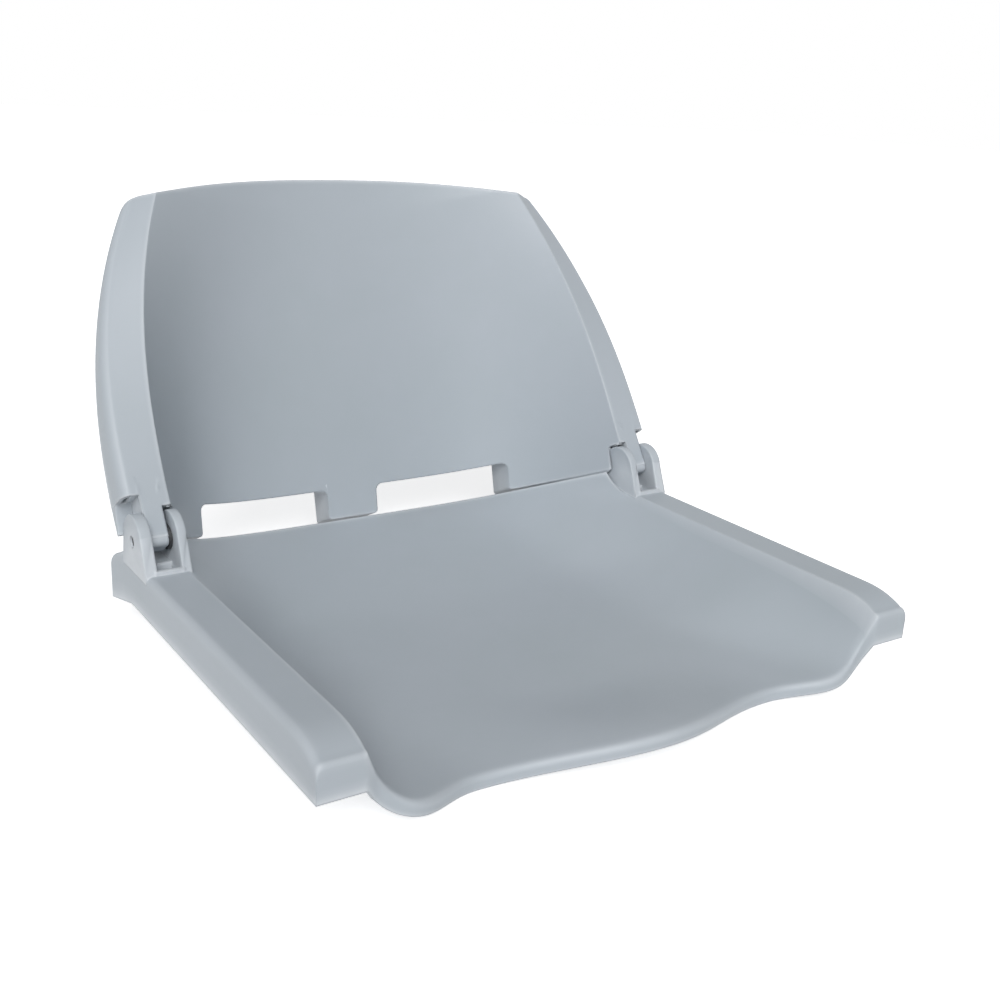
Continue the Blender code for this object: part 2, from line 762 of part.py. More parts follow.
def main():
    clear_scene()
    grey = finish("grey_plastic", (0.40, 0.44, 0.47), 0.5)
    steel = finish("pin_steel", (0.55, 0.55, 0.55), 0.35, 1.0)
    nylon = finish("bush_nylon", (0.75, 0.74, 0.70), 0.5)
    brass = finish("insert_brass", (0.72, 0.55, 0.25), 0.35, 1.0)
    seat_pan = make_seat_pan(grey)
    backrest = make_backrest(grey)
    for side, name in ((1, "left"), (-1, "right")):
        make_pin(side, f"hinge_pin_{name}", steel, seat_pan)
        make_bush(side, f"hinge_bush_{name}", nylon, backrest)
    make_inserts(brass, seat_pan)


main()
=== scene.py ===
"""Looks of the folding boat seat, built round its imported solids.

The two mouldings are made again as fine meshes from the seat's own sizes, and stand for their plain solids.
Pins, bushes and inserts keep their solids and get finishes. Lengths are metres, -Y is the front, +Z is up.
"""
import json
import math

import bmesh
import bpy
from mathutils import Matrix, Vector


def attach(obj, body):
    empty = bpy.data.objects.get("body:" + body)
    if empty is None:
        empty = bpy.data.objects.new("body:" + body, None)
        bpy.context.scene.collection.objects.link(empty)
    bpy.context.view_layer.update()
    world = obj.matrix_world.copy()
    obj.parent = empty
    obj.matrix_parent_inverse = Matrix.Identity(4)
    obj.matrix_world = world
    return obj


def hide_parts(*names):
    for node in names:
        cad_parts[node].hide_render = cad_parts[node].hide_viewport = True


bl_info = {
    "name": "Folding boat seat",
    "version": (1, 0, 0),
    "blender": (4, 5, 0),
    "location": "3D View > Sidebar > Boat seat",
    "description": "Builds the looks of a moulded folding boat seat round its solids",
    "category": "Object",
}

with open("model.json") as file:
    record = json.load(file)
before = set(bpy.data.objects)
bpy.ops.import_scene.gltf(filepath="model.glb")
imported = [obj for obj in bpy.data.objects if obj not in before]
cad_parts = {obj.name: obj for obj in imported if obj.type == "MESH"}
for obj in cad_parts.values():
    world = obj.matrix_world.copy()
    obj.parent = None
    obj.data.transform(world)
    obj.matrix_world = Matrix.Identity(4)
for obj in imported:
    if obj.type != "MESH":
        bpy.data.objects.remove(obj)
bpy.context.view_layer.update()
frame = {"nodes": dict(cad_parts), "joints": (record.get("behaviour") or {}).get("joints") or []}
HINGE = Vector(frame["joints"][0]["pos_m"])

MM = 0.001
TINY = 1e-5
STEP = 0.15 * MM
SET_BACK = 0.05 * MM
SHARP_ANGLE = math.radians(38)
FLAT_CORNERS = 8
BEVEL_STEPS = 4
ROUND_PROFILE = 0.5
ROUND_SEGMENTS = 48


# Sizes and colours


def length(label, words, millimetres):
    return bpy.props.FloatProperty(
        name=label, description=words, default=millimetres * MM, unit="LENGTH", precision=4)


def slope(label, words, degrees):
    return bpy.props.FloatProperty(
        name=label, description=words, default=math.radians(degrees), subtype="ANGLE")


def tint(label, words, value):
    return bpy.props.FloatVectorProperty(
        name=label, description=words, default=value, subtype="COLOR", min=0, max=1)


class PanSizes(bpy.types.PropertyGroup):
    """Seat pan, rails and the hinge ears on them."""

    width: length("Width", "Over the outer faces of the rails", 470)
    wall: length("Wall", "Thickness of the moulding", 3.5)
    edge_round: length("Edge round", "Radius of the rails' outer edges", 5)
    rail_width: length("Rail width", "Across the top of a rail", 31)
    rail_top: length("Rail top", "Height of the rails above the mounting face", 66)
    rail_depth: length("Rail depth", "Height of a rail's outer face", 32)
    rail_front: length("Rail front", "Where the rails' front faces lie", -195)
    nose_length: length("Nose length", "Run over which a rail rounds down at the front", 40)
    nose_drop: length("Nose drop", "How far a rail falls at its front", 10)
    side_run: length("Side run", "Width of the bowl's side between rail and floor", 104)
    side_run_front: length("Front side run", "Width of that side at the front lip", 56)
    floor: length("Dish floor", "Lowest height of the sitting surface", 12.5)
    floor_side_rise: length("Dish side rise", "How much the dish floor rises to the sides", 1)
    lip_y: length("Lip line", "Where the front lip lies between its bulges", -177.5)
    lip_height: length("Lip height", "Height of the lip's front face", 9)
    lip_low: length("Lip low", "Lowest height of the lip's bottom edge", 1)
    lobe_x: length("Lobe place", "Distance of the corner lobes from the middle", 173)
    lobe_reach: length("Lobe reach", "How far the lobes stand forward", 18)
    lobe_rise: length("Lobe rise", "How far the lobes' bottom edges lift", 6)
    scoop_x: length("Scoop place", "Distance of the leg scoops from the middle", 121)
    pommel_reach: length("Pommel reach", "How far the middle of the lip stands forward", 34.5)
    pommel_rise: length("Pommel rise", "How far the middle of the lip lifts", 15)
    rear_gap: length("Rear gap", "Gap between the dish and the backrest", 1.6)
    ear_radius: length("Ear radius", "Radius of a hinge ear's head", 19.5)
    ear_front: length("Ear front foot", "Run of an ear in front of the pin", 28)
    ear_rear: length("Ear rear foot", "Run of an ear behind the pin", 22)
    ear_soft: length("Ear edge", "Rounding of the ears' edges", 2.2)
    outer_ear: length("Outer ear", "Thickness of the outer ear", 8.6)
    inner_ear: length("Inner ear", "Thickness of the inner ear", 6.9)
    pin_hole: length("Pin hole", "Radius of the hole that shows the pin", 4.3)
    heel_length: length("Heel length", "How far the heel stands behind the rail", 31)
    heel_drop: length("Heel drop", "How far the heel hangs below the rail", 12)
    mount_spacing: length("Mount spacing", "Side of the square of threaded inserts", 127)


class BackSizes(bpy.types.PropertyGroup):
    """Backrest panel, borders and hinge tongues."""

    lean: slope("Lean", "Lean of the side borders", 34)
    panel_lean: slope("Panel lean", "Lean of the panel's middle", 12)
    tab_lean: slope("Tab lean", "Slope of the rim under the tabs", 27)
    tongue_front: length("Tongue front", "From the border's face back to the pin", 9.6)
    tongue_depth: length("Tongue depth", "Depth of a hinge tongue", 32)
    tongue_width: length("Tongue width", "Width of a hinge tongue", 14.4)
    outer_gap: length("Outer gap", "Gap between tongue and outer ear", 0.6)
    inner_gap: length("Inner gap", "Gap between tongue and inner ear", 3)
    side_depth_top: length("Top side depth", "Depth of the side wall at the top", 6)
    notch_rise: length("Notch rise", "Where the border ends above the outer ears", 31)
    notch_inner: length("Inner notch rise", "Where the border ends above the inner ears", 21)
    notch_radius: length("Notch radius", "Clearance round the ears' heads", 21.5)
    strip_radius: length("Strip radius", "Top of the hollow behind the ears, from the pin", 33)
    wing_radius: length("Wing radius", "Round end of the panel's wings beside the inner ears", 5)
    border_width: length("Border width", "Across a side border", 30)
    border_top: length("Border top", "Height of the border along its lean", 267)
    corner_rise: length("Corner rise", "Height of the top corners along the lean", 263.8)
    ridge_rise: length("Ridge rise", "Height of the borders' inner edges along the lean", 261.2)
    flare: length("Flare", "How far the borders stand out beyond the rails", 3)
    side_taper: length("Side taper", "How much narrower each side is at the top", 54.5)
    inner_taper: length("Inner taper", "How much the borders' inner edges close in", 42)
    twist: length("Twist", "How far the borders' inner edges come forward at the top", 11)
    taper_start: length("Taper start", "Where the sides begin to close in", 34)
    edge_in: length("Edge run-in", "How far the rounded border edge lies inside the wall", 6)
    edge_back: length("Edge depth", "How deep the rounded border edge runs", 10)
    corner_round: length("Corner round", "Radius of the top corners", 10)
    panel_bottom: length("Panel bottom", "Bottom edge of the panel", 22)
    panel_top: length("Panel top", "Top edge of the panel, in the middle", 291.4)
    depth_bottom: length("Bottom depth", "Depth of the tub at the bottom", 135)
    depth_top: length("Top depth", "Depth of the tub at the top", 23)
    side_dip: length("Side dip", "How far the bottom edge falls to the sides", 23)
    cut_inner: length("Cut-out inner side", "Distance from the middle", 24)
    cut_outer: length("Cut-out outer side", "Distance from the middle", 149)
    cut_height: length("Cut-out height", "Height of a bottom cut-out", 24)
    cut_round: length("Cut-out round", "Radius of a cut-out's upper corners", 6)
    tab_round: length("Tab round", "Radius of the tabs' lower corners", 3)
    rim_depth: length("Rim depth", "Depth of the rim round the bottom edge", 28)
    top_rim_depth: length("Top rim depth", "Depth of the rim along the top edge", 16)


class Finishes(bpy.types.PropertyGroup):
    """Colours of the plastic and the metal pieces."""

    plastic: tint("Plastic", "Moulded grey of both large pieces", (0.402, 0.440, 0.481))
    plastic_dark: tint("Plastic shade", "Darker flow marks in the moulding", (0.366, 0.412, 0.440))
    # Paler edge colour: partly rubbed wear, partly a painted highlight where light catches the rounded edges.
    plastic_wear_and_highlight: tint("Plastic edges", "Paler rubbed edges", (0.640, 0.672, 0.705))
    # Near-black pin colour: partly the steel's own, partly painted shade that darkens the pin holes.
    pin_steel_and_hole_shade: tint("Pin steel", "Hinge pins", (0.085, 0.085, 0.09))
    nylon: tint("Bush nylon", "Hinge bushes", (0.035, 0.037, 0.040))
    brass: tint("Insert brass", "Threaded inserts", (0.70, 0.53, 0.24))
    floor: tint("Floor", "Studio floor", (0.90, 0.90, 0.90))


def finishes():
    return bpy.context.scene.boat_seat_finishes


# Small sums


def mix(a, b, t):
    return a + (b - a) * t


def smooth(t):
    t = min(max(t, 0.0), 1.0)
    return t * t * (3 - 2 * t)


def hump(distance, reach):
    """1 at no distance, falling smoothly to 0 at the reach."""
    return 0.5 + 0.5 * math.cos(math.pi * min(abs(distance) / reach, 1.0))


def quarter(t):
    """Even steps round a quarter circle, seen from the side."""
    return math.sin(math.pi / 2 * t)


def slow_start(t):
    """Even steps round a quarter circle, seen from its end."""
    return 1 - quarter(1 - t)


def rounding(distance, radius):
    """How far a rounded corner falls short, at a distance from its side."""
    if distance >= radius:
        return 0.0
    return radius - math.sqrt(max(radius ** 2 - (radius - distance) ** 2, 0.0))


def spread(start, end, steps, ease=None):
    """Places from start up to, but not at, the end."""
    return [mix(start, end, ease(i / steps) if ease else i / steps) for i in range(steps)]


def shares(steps):
    """Even shares from 0 to 1."""
    return [i / steps for i in range(steps + 1)]


def eased_shares(steps, ease):
    """Shares from 0 to 1, closer together at both ends."""
    return [mix(t, smooth(t), ease) for t in shares(steps)]


def arc(radius, steps):
    """Points round an edge: how far short of its side and how far below its top each lies."""
    return [(radius * (1 - quarter(t)), radius * slow_start(t)) for t in shares(steps)]


# Mesh building


def sheet(bm, rows, skip=()):
    """Add a sheet through rows of points, leaving out the skipped cells."""
    net = [[bm.verts.new(point) for point in row] for row in rows]
    for k, (low, high) in enumerate(zip(net, net[1:])):
        for i in range(len(low) - 1):
            if (k, i) not in skip:
                bm.faces.new((low[i], low[i + 1], high[i + 1], high[i]))


def flat_face(bm, points):
    bm.faces.new([bm.verts.new(point) for point in points])


def both_sides(side):
    """A row of points for one half, with its mirror image before it."""
    return [(-x, y, z) for x, y, z in reversed(side[1:])] + side


def tidy(bm):
    """Join points that coincide, and drop what collapsed."""
    bmesh.ops.remove_doubles(bm, verts=bm.verts, dist=TINY)
    bmesh.ops.dissolve_degenerate(bm, edges=bm.edges, dist=TINY)
    loose = [vert for vert in bm.verts if not vert.link_faces]
    bmesh.ops.delete(bm, geom=loose, context="VERTS")


def face_towards(bm, direction):
    bmesh.ops.recalc_face_normals(bm, faces=bm.faces)
    facing = sum(face.normal.dot(direction) * face.calc_area() for face in bm.faces)
    if facing < 0:
        bmesh.ops.reverse_faces(bm, faces=bm.faces)


def thicken(bm, wall):
    """Give a sheet its wall, grown away from the side it faces."""
    bm.normal_update()
    rims = [edge for edge in bm.edges if edge.is_boundary]
    faces = bm.faces[:]
    inside = {vert: bm.verts.new(vert.co - vert.normal * wall) for vert in bm.verts[:]}
    for face in faces:
        bm.faces.new([inside[vert] for vert in reversed(face.verts)])
    for edge in rims:
        one, two = edge.verts
        bm.faces.new((one, two, inside[two], inside[one]))
    bmesh.ops.recalc_face_normals(bm, faces=bm.faces)


def prism(outline, x_from, x_to, soft=0.0, above=-1.0):
    """A flat (y, z) outline extruded across from one x to another. Its rims are rounded above a height."""
    part = bmesh.new()
    face = part.faces.new([part.verts.new((x_from, y, z)) for y, z in outline])
    grown = bmesh.ops.extrude_face_region(part, geom=[face])["geom"]
    moved = [item for item in grown if isinstance(item, bmesh.types.BMVert)]
    bmesh.ops.translate(part, verts=moved, vec=(x_to - x_from, 0, 0))
    if soft:
        rims = [edge for edge in part.edges if is_rim(edge, above)]
        bmesh.ops.bevel(part, geom=rims, offset=soft, segments=BEVEL_STEPS, profile=ROUND_PROFILE,
                        affect="EDGES", clamp_overlap=True)
    bmesh.ops.recalc_face_normals(part, faces=part.faces)
    return part


def is_rim(edge, above):
    """Whether an edge runs round one of a prism's end faces, above a height."""
    one, two = (vert.co for vert in edge.verts)
    return abs(one.x - two.x) < TINY and min(one.z, two.z) > above


def append(bm, part):
    """Move one built shape into another."""
    mesh = bpy.data.meshes.new("part")
    part.to_mesh(mesh)
    part.free()
    bm.from_mesh(mesh)
    bpy.data.meshes.remove(mesh)


def box(x_span, y_span, z_span, soft=0.0):
    (y0, y1), (z0, z1) = y_span, z_span
    return prism([(y0, z0), (y1, z0), (y1, z1), (y0, z1)], x_span[0], x_span[1], soft)


def disc(centre, profile, segments=ROUND_SEGMENTS):
    """A (radius, height) profile spun about a vertical axis."""
    part = bmesh.new()
    rings = []
    for angle in spread(0, 2 * math.pi, segments):
        turn = Vector((math.cos(angle), math.sin(angle), 0))
        spots = [turn * radius + Vector((0, 0, height)) for radius, height in profile]
        rings.append([part.verts.new(Vector(centre) + spot) for spot in spots])
    for a, b in zip(rings, rings[1:] + rings[:1]):
        for k in range(len(profile) - 1):
            part.faces.new((a[k], a[k + 1], b[k + 1], b[k]))
    bmesh.ops.remove_doubles(part, verts=part.verts, dist=TINY)
    bmesh.ops.recalc_face_normals(part, faces=part.faces)
    return part


def make_object(name, bm, material):
    mesh = bpy.data.meshes.new(name)
    bm.to_mesh(mesh)
    bm.free()
    if material:
        mesh.materials.append(material)
    for face in mesh.polygons:
        face.use_smooth = len(face.vertices) < FLAT_CORNERS
    mesh.set_sharp_from_angle(angle=SHARP_ANGLE)
    made = bpy.data.objects.new(name, mesh)
    bpy.context.scene.collection.objects.link(made)
    return made


def about_hinge(radius, degrees):
    """The (y, z) point at a radius and direction from the pin, from +Y towards +Z."""
    angle = math.radians(degrees)
    return (HINGE.y + radius * math.cos(angle), HINGE.z + radius * math.sin(angle))


# Backrest


class Backrest:
    """The backrest's surface. Points are given as x, rise along the leaning borders and depth behind them."""

    TAPER_POWER = 2.45
    TOP_ARCH = 2.28
    DIP_POWER = 5.5
    TUB_BOTTOM = 5.0
    TUB_TOP = 2.2
    EDGE_SHARE = 0.8
    EAR_MARGIN, TONGUE_DROP = 1.2 * MM, 2 * MM
    TOP_LEAN_FROM = 0.7
    TAB_TURN, TAB_RIM = 40 * MM, 12 * MM
    WING_END, WING_FADE = 0.97, 0.01
    ROWS, ROW_EASE = 64, 0.6
    BELT, BELT_SHARE = 52 * MM, 0.15
    MIDDLE_COLUMNS, TAB_COLUMNS, CORNER_COLUMNS, CUT_COLUMNS, SIDE_COLUMNS = 4, 5, 6, 22, 36
    BORDER_COLUMNS, TONGUE_COLUMNS, EDGE_COLUMNS, WALL_COLUMNS = 3, 5, 8, 5

    def __init__(self, sizes, pan):
        self.s = sizes
        self.pan = pan
        self.half = pan.width / 2
        self.panel_half = self.half - sizes.border_width

    def place(self, x, rise, depth):
        back = depth - self.s.tongue_front
        lean = self.s.lean
        y = HINGE.y + back * math.cos(lean) + rise * math.sin(lean)
        z = HINGE.z - back * math.sin(lean) + rise * math.cos(lean)
        return (x, y, z)

    def closing(self, rise, power):
        """How far the sides have closed in at a rise: 0 low down, 1 at the top."""
        s = self.s
        t = (rise - s.taper_start) / (s.border_top - s.taper_start)
        return min(max(t, 0.0), 1.0) ** power

    def outer(self, rise):
        return self.half + self.s.flare - self.s.side_taper * self.closing(rise, self.TAPER_POWER)

    def inner(self, rise):
        return self.panel_half - self.s.inner_taper * self.closing(rise, self.TAPER_POWER)

    def plain_bottom(self, share):
        return self.s.panel_bottom - self.s.side_dip * share ** self.DIP_POWER

    def arch(self, x):
        """Rise of the top edge: an arch over the panel, then along the border to the outer corner."""
        s = self.s
        ridge, outer = self.inner(s.border_top), self.outer(s.corner_rise)
        if x < ridge:
            return mix(s.panel_top, s.ridge_rise, (x / ridge) ** self.TOP_ARCH)
        return mix(s.ridge_rise, s.corner_rise, (x - ridge) / (outer - ridge))

    def panel_depth(self, share, rise):
        low, high = self.plain_bottom(share), self.arch(share * self.inner(self.s.border_top))
        up = min(max((rise - low) / (high - low), 0.0), 1.0)
        side = share ** mix(self.TUB_BOTTOM, self.TUB_TOP, up)
        return mix(mix(self.s.depth_bottom, self.s.depth_top, up), self.ridge_depth(rise), side)

    def ridge_depth(self, rise):
        """Depth of a border's inner edge, which comes forward towards the top."""
        return -self.s.twist * self.closing(rise, 1.0)

    def wall_depth(self, rise):
        return mix(self.s.tongue_depth, self.s.side_depth_top, smooth(rise / self.s.border_top))

    def panel_shares(self):
        """Shares of the panel's width from the middle out, close together at the cut-outs' corners."""
        s = self.s
        near, far, soft, tab = s.cut_inner, s.cut_outer, s.cut_round, s.tab_round
        width = self.panel_half
        xs = spread(0, near - tab, self.MIDDLE_COLUMNS)
        xs += spread(near - tab, near, self.TAB_COLUMNS, quarter) + [near]
        xs += spread(near + STEP, near + soft, self.CORNER_COLUMNS, slow_start)
        xs += spread(near + soft, far - soft, self.CUT_COLUMNS)
        xs += spread(far - soft, far - STEP, self.CORNER_COLUMNS, quarter) + [far - STEP]
        xs += spread(far, far + tab, self.TAB_COLUMNS, slow_start)
        xs += spread(far + tab, width, self.SIDE_COLUMNS, quarter)
        return [x / width for x in xs]

    def border_shares(self):
        """Shares of a border's width, with a fine step at each side of the hinge tongue."""
        inner, outer = self.tongue_shares()
        fine = STEP / self.s.border_width
        tongue = spread(inner + fine, outer - fine, self.TONGUE_COLUMNS) + [outer - fine]
        return (spread(0, inner, self.BORDER_COLUMNS) + [inner] + tongue
                + spread(outer, 1.0, self.BORDER_COLUMNS))

    def columns(self):
        """Columns of one half, from the middle out: a zone and a share of that zone's width."""
        zones = {
            "panel": self.panel_shares(),
            "border": self.border_shares(),
            "edge": spread(0, 1, self.EDGE_COLUMNS),
            "wall": spread(0, 1, self.WALL_COLUMNS) + [1.0],
        }
        return [(zone, t) for zone, places in zones.items() for t in places]

    def tongue_shares(self):
        """Shares of the border's width between which the hinge tongue runs down."""
        low, high = self.inner(0.0), self.outer(0.0) - self.s.edge_in
        return [(x - low) / (high - low) for x in tongue_span(self.pan, self.s)]

    def on_tongue(self, t):
        inner, outer = self.tongue_shares()
        return inner + TINY < t < outer - TINY

    def clear_of_ear(self, x, depth):
        """Rise of a round gap about the hinge pin, which is smaller beside the inner ear."""
        s = self.s
        ear_in = tongue_span(self.pan, s)[0] - s.inner_gap - self.pan.inner_ear
        radius = s.notch_radius if x > ear_in - self.EAR_MARGIN else s.wing_radius
        return math.sqrt(max(radius ** 2 - (depth - s.tongue_front) ** 2, 0.0))

    def bottom(self, zone, t):
        """Rise of the sheet's bottom edge in a column: tabs, cut-outs, and the gap round the ears."""
        s = self.s
        if zone == "border" and self.on_tongue(t):
            return -self.TONGUE_DROP
        if zone == "border" and t < 0.5:
            return s.notch_inner
        if zone != "panel":
            return s.notch_rise
        x = t * self.panel_half
        inside = min(x - s.cut_inner, s.cut_outer - x)
        if inside > 0:
            return self.plain_bottom(t) + s.cut_height - rounding(inside, s.cut_round)
        low = self.plain_bottom(t) + rounding(-inside, s.tab_round)
        return max(low, self.clear_of_ear(x, self.panel_depth(t, low)))

    def top(self, zone, t):
        """Rise of the top edge in a column, falling away round the top corner."""
        s = self.s
        if zone == "panel":
            return self.arch(t * self.inner(s.border_top))
        outer, inner = self.outer(s.corner_rise), self.inner(s.border_top)
        x = outer
        if zone == "border":
            x = mix(inner, outer - s.edge_in, t)
        if zone == "edge":
            x = outer - s.edge_in * (1 - quarter(t))
        return self.arch(x) - rounding(outer - x, s.corner_round)

    def point(self, zone, t, rise):
        s = self.s
        if zone == "panel":
            return self.inner(rise) * t, rise, self.panel_depth(t, rise)
        outer, wall = self.outer(rise), self.wall_depth(rise)
        if zone == "border":
            return mix(self.inner(rise), outer - s.edge_in, t), rise, mix(self.ridge_depth(rise), 0.0, t)
        back = min(s.edge_back, self.EDGE_SHARE * wall)
        if zone == "edge":
            return outer - s.edge_in * (1 - quarter(t)), rise, back * (1 - quarter(1 - t))
        return outer, rise, mix(back, wall, t)

    def rim(self, zone, t, at_top):
        """How far the sheet's edge is turned back, and the lean of that rim."""
        s = self.s
        if zone in ("edge", "wall"):
            return 0.0, s.lean
        if zone == "border" and at_top:
            return mix(s.top_rim_depth, s.side_depth_top, t), s.lean
        if zone == "border":
            return (0.0 if self.on_tongue(t) else s.tongue_depth), s.lean
        if at_top:
            outwards = smooth((t - self.TOP_LEAN_FROM) / (1 - self.TOP_LEAN_FROM))
            return s.top_rim_depth, mix(s.panel_lean, s.lean, outwards)
        x = t * self.panel_half
        lean = s.panel_lean if s.cut_inner < x < s.cut_outer else s.tab_lean
        outwards = smooth((x - s.cut_outer) / self.TAB_TURN)
        left = 1 - smooth((t - self.WING_END) / self.WING_FADE)
        return mix(s.rim_depth, self.TAB_RIM, outwards) * left, mix(lean, s.lean + s.panel_lean, outwards)

    def rim_row(self, at_top):
        side = []
        for zone, t in self.columns():
            rise = self.top(zone, t) if at_top else self.bottom(zone, t)
            depth, lean = self.rim(zone, t, at_top)
            back = Vector((0, math.cos(lean), -math.sin(lean))) * depth
            side.append(tuple(Vector(self.place(*self.point(zone, t, rise))) + back))
        return both_sides(side)

    def rise_of(self, zone, t, up):
        """Rise in a column. Above the belt neighbouring columns share their rises, so no face is sheared."""
        if up < self.BELT_SHARE:
            return mix(self.bottom(zone, t), self.BELT, up / self.BELT_SHARE)
        return mix(self.BELT, self.top(zone, t), (up - self.BELT_SHARE) / (1 - self.BELT_SHARE))

    def row(self, up):
        points = [self.point(zone, t, self.rise_of(zone, t, up)) for zone, t in self.columns()]
        return both_sides([self.place(*point) for point in points])

    def shell(self, bm):
        """The whole moulding apart from the hinge tongues."""
        ups = eased_shares(self.ROWS, self.ROW_EASE)
        sheet(bm, [self.rim_row(False)] + [self.row(up) for up in ups] + [self.rim_row(True)])
        tidy(bm)
        face_towards(bm, Vector((0, -1, 0)))
        thicken(bm, self.pan.wall)


TONGUE_GAP, TONGUE_SOFT, TONGUE_ROOT = 0.2 * MM, 1.2 * MM, 12 * MM
TOE, TOE_ROUND, TOE_STEPS = -7.6 * MM, 5 * MM, 8
TOE_FLAT, TOE_END, TOE_LIFT = 8 * MM, 12 * MM, 1.5 * MM
CALF_LOW, CALF_HIGH, CALF_IN = 8 * MM, 11 * MM, 2 * MM
STRIP_GAP, STRIP_SOFT, STRIP_OVER = 0.4 * MM, 0.8 * MM, 5 * MM
STRIP_ROOT, STRIP_TOP, STRIP_FOOT = 10 * MM, 12 * MM, 10.5 * MM
HOLLOW_FROM, HOLLOW_TO, HOLLOW_STEPS, HOLLOW_POWER = -5, 40, 14, 1.5


def tongue_outline(back):
    """Side view of a hinge tongue: flush with the border, with a rounded toe under the pin."""
    s = back.s
    root, skin = s.notch_rise + TONGUE_ROOT, back.pan.wall / 2
    flat = [(skin, root), (skin, 0.0), (TONGUE_GAP, 0.0)]
    flat += [(TONGUE_GAP + depth, TOE + rise) for rise, depth in arc(TOE_ROUND, TOE_STEPS)]
    rear = s.tongue_depth - TONGUE_GAP
    flat += [(s.tongue_front + TOE_FLAT, TOE), (s.tongue_front + TOE_END, TOE + TOE_LIFT)]
    flat += [(rear - CALF_IN, CALF_LOW), (rear, CALF_HIGH), (rear, root)]
    return [back.place(0, rise, depth)[1:] for depth, rise in flat]


def strip_outline(back):
    """Side view of the strip of border that runs down behind the ears, hollowed to clear their heads."""
    s = back.s
    hollow = []
    for t in shares(HOLLOW_STEPS):
        radius = mix(s.notch_radius, s.strip_radius, t ** HOLLOW_POWER)
        hollow.append(about_hinge(radius, mix(HOLLOW_FROM, HOLLOW_TO, t)))
    rear, root = s.tongue_depth - STRIP_GAP, s.notch_rise + STRIP_ROOT
    corners = [(root, rear - STRIP_TOP), (root, rear), (STRIP_FOOT, rear)]
    return hollow + [back.place(0, rise, depth)[1:] for rise, depth in corners]


def tongue_span(pan, back):
    """Where a tongue lies between its ears: inner and outer x."""
    outer = pan.width / 2 - pan.outer_ear - back.outer_gap
    return outer - back.tongue_width, outer


def add_tongue(bm, back, side):
    """A hinge tongue, and the strip of border behind it."""
    pan = back.pan
    inner, outer = tongue_span(pan, back.s)
    tongue = side * (inner + TONGUE_GAP), side * (outer - TONGUE_GAP)
    append(bm, prism(tongue_outline(back), *tongue, TONGUE_SOFT))
    rail_inner = pan.width / 2 - pan.rail_width
    strip = side * (rail_inner - STRIP_OVER), side * (back.outer(0.0) - SET_BACK)
    append(bm, prism(strip_outline(back), *strip, STRIP_SOFT))


def build_backrest(pan, sizes, material):
    back = Backrest(sizes, pan)
    bm = bmesh.new()
    back.shell(bm)
    for side in (-1, 1):
        add_tongue(bm, back, side)
    return make_object("backrest_moulding", bm, material)


# Seat pan


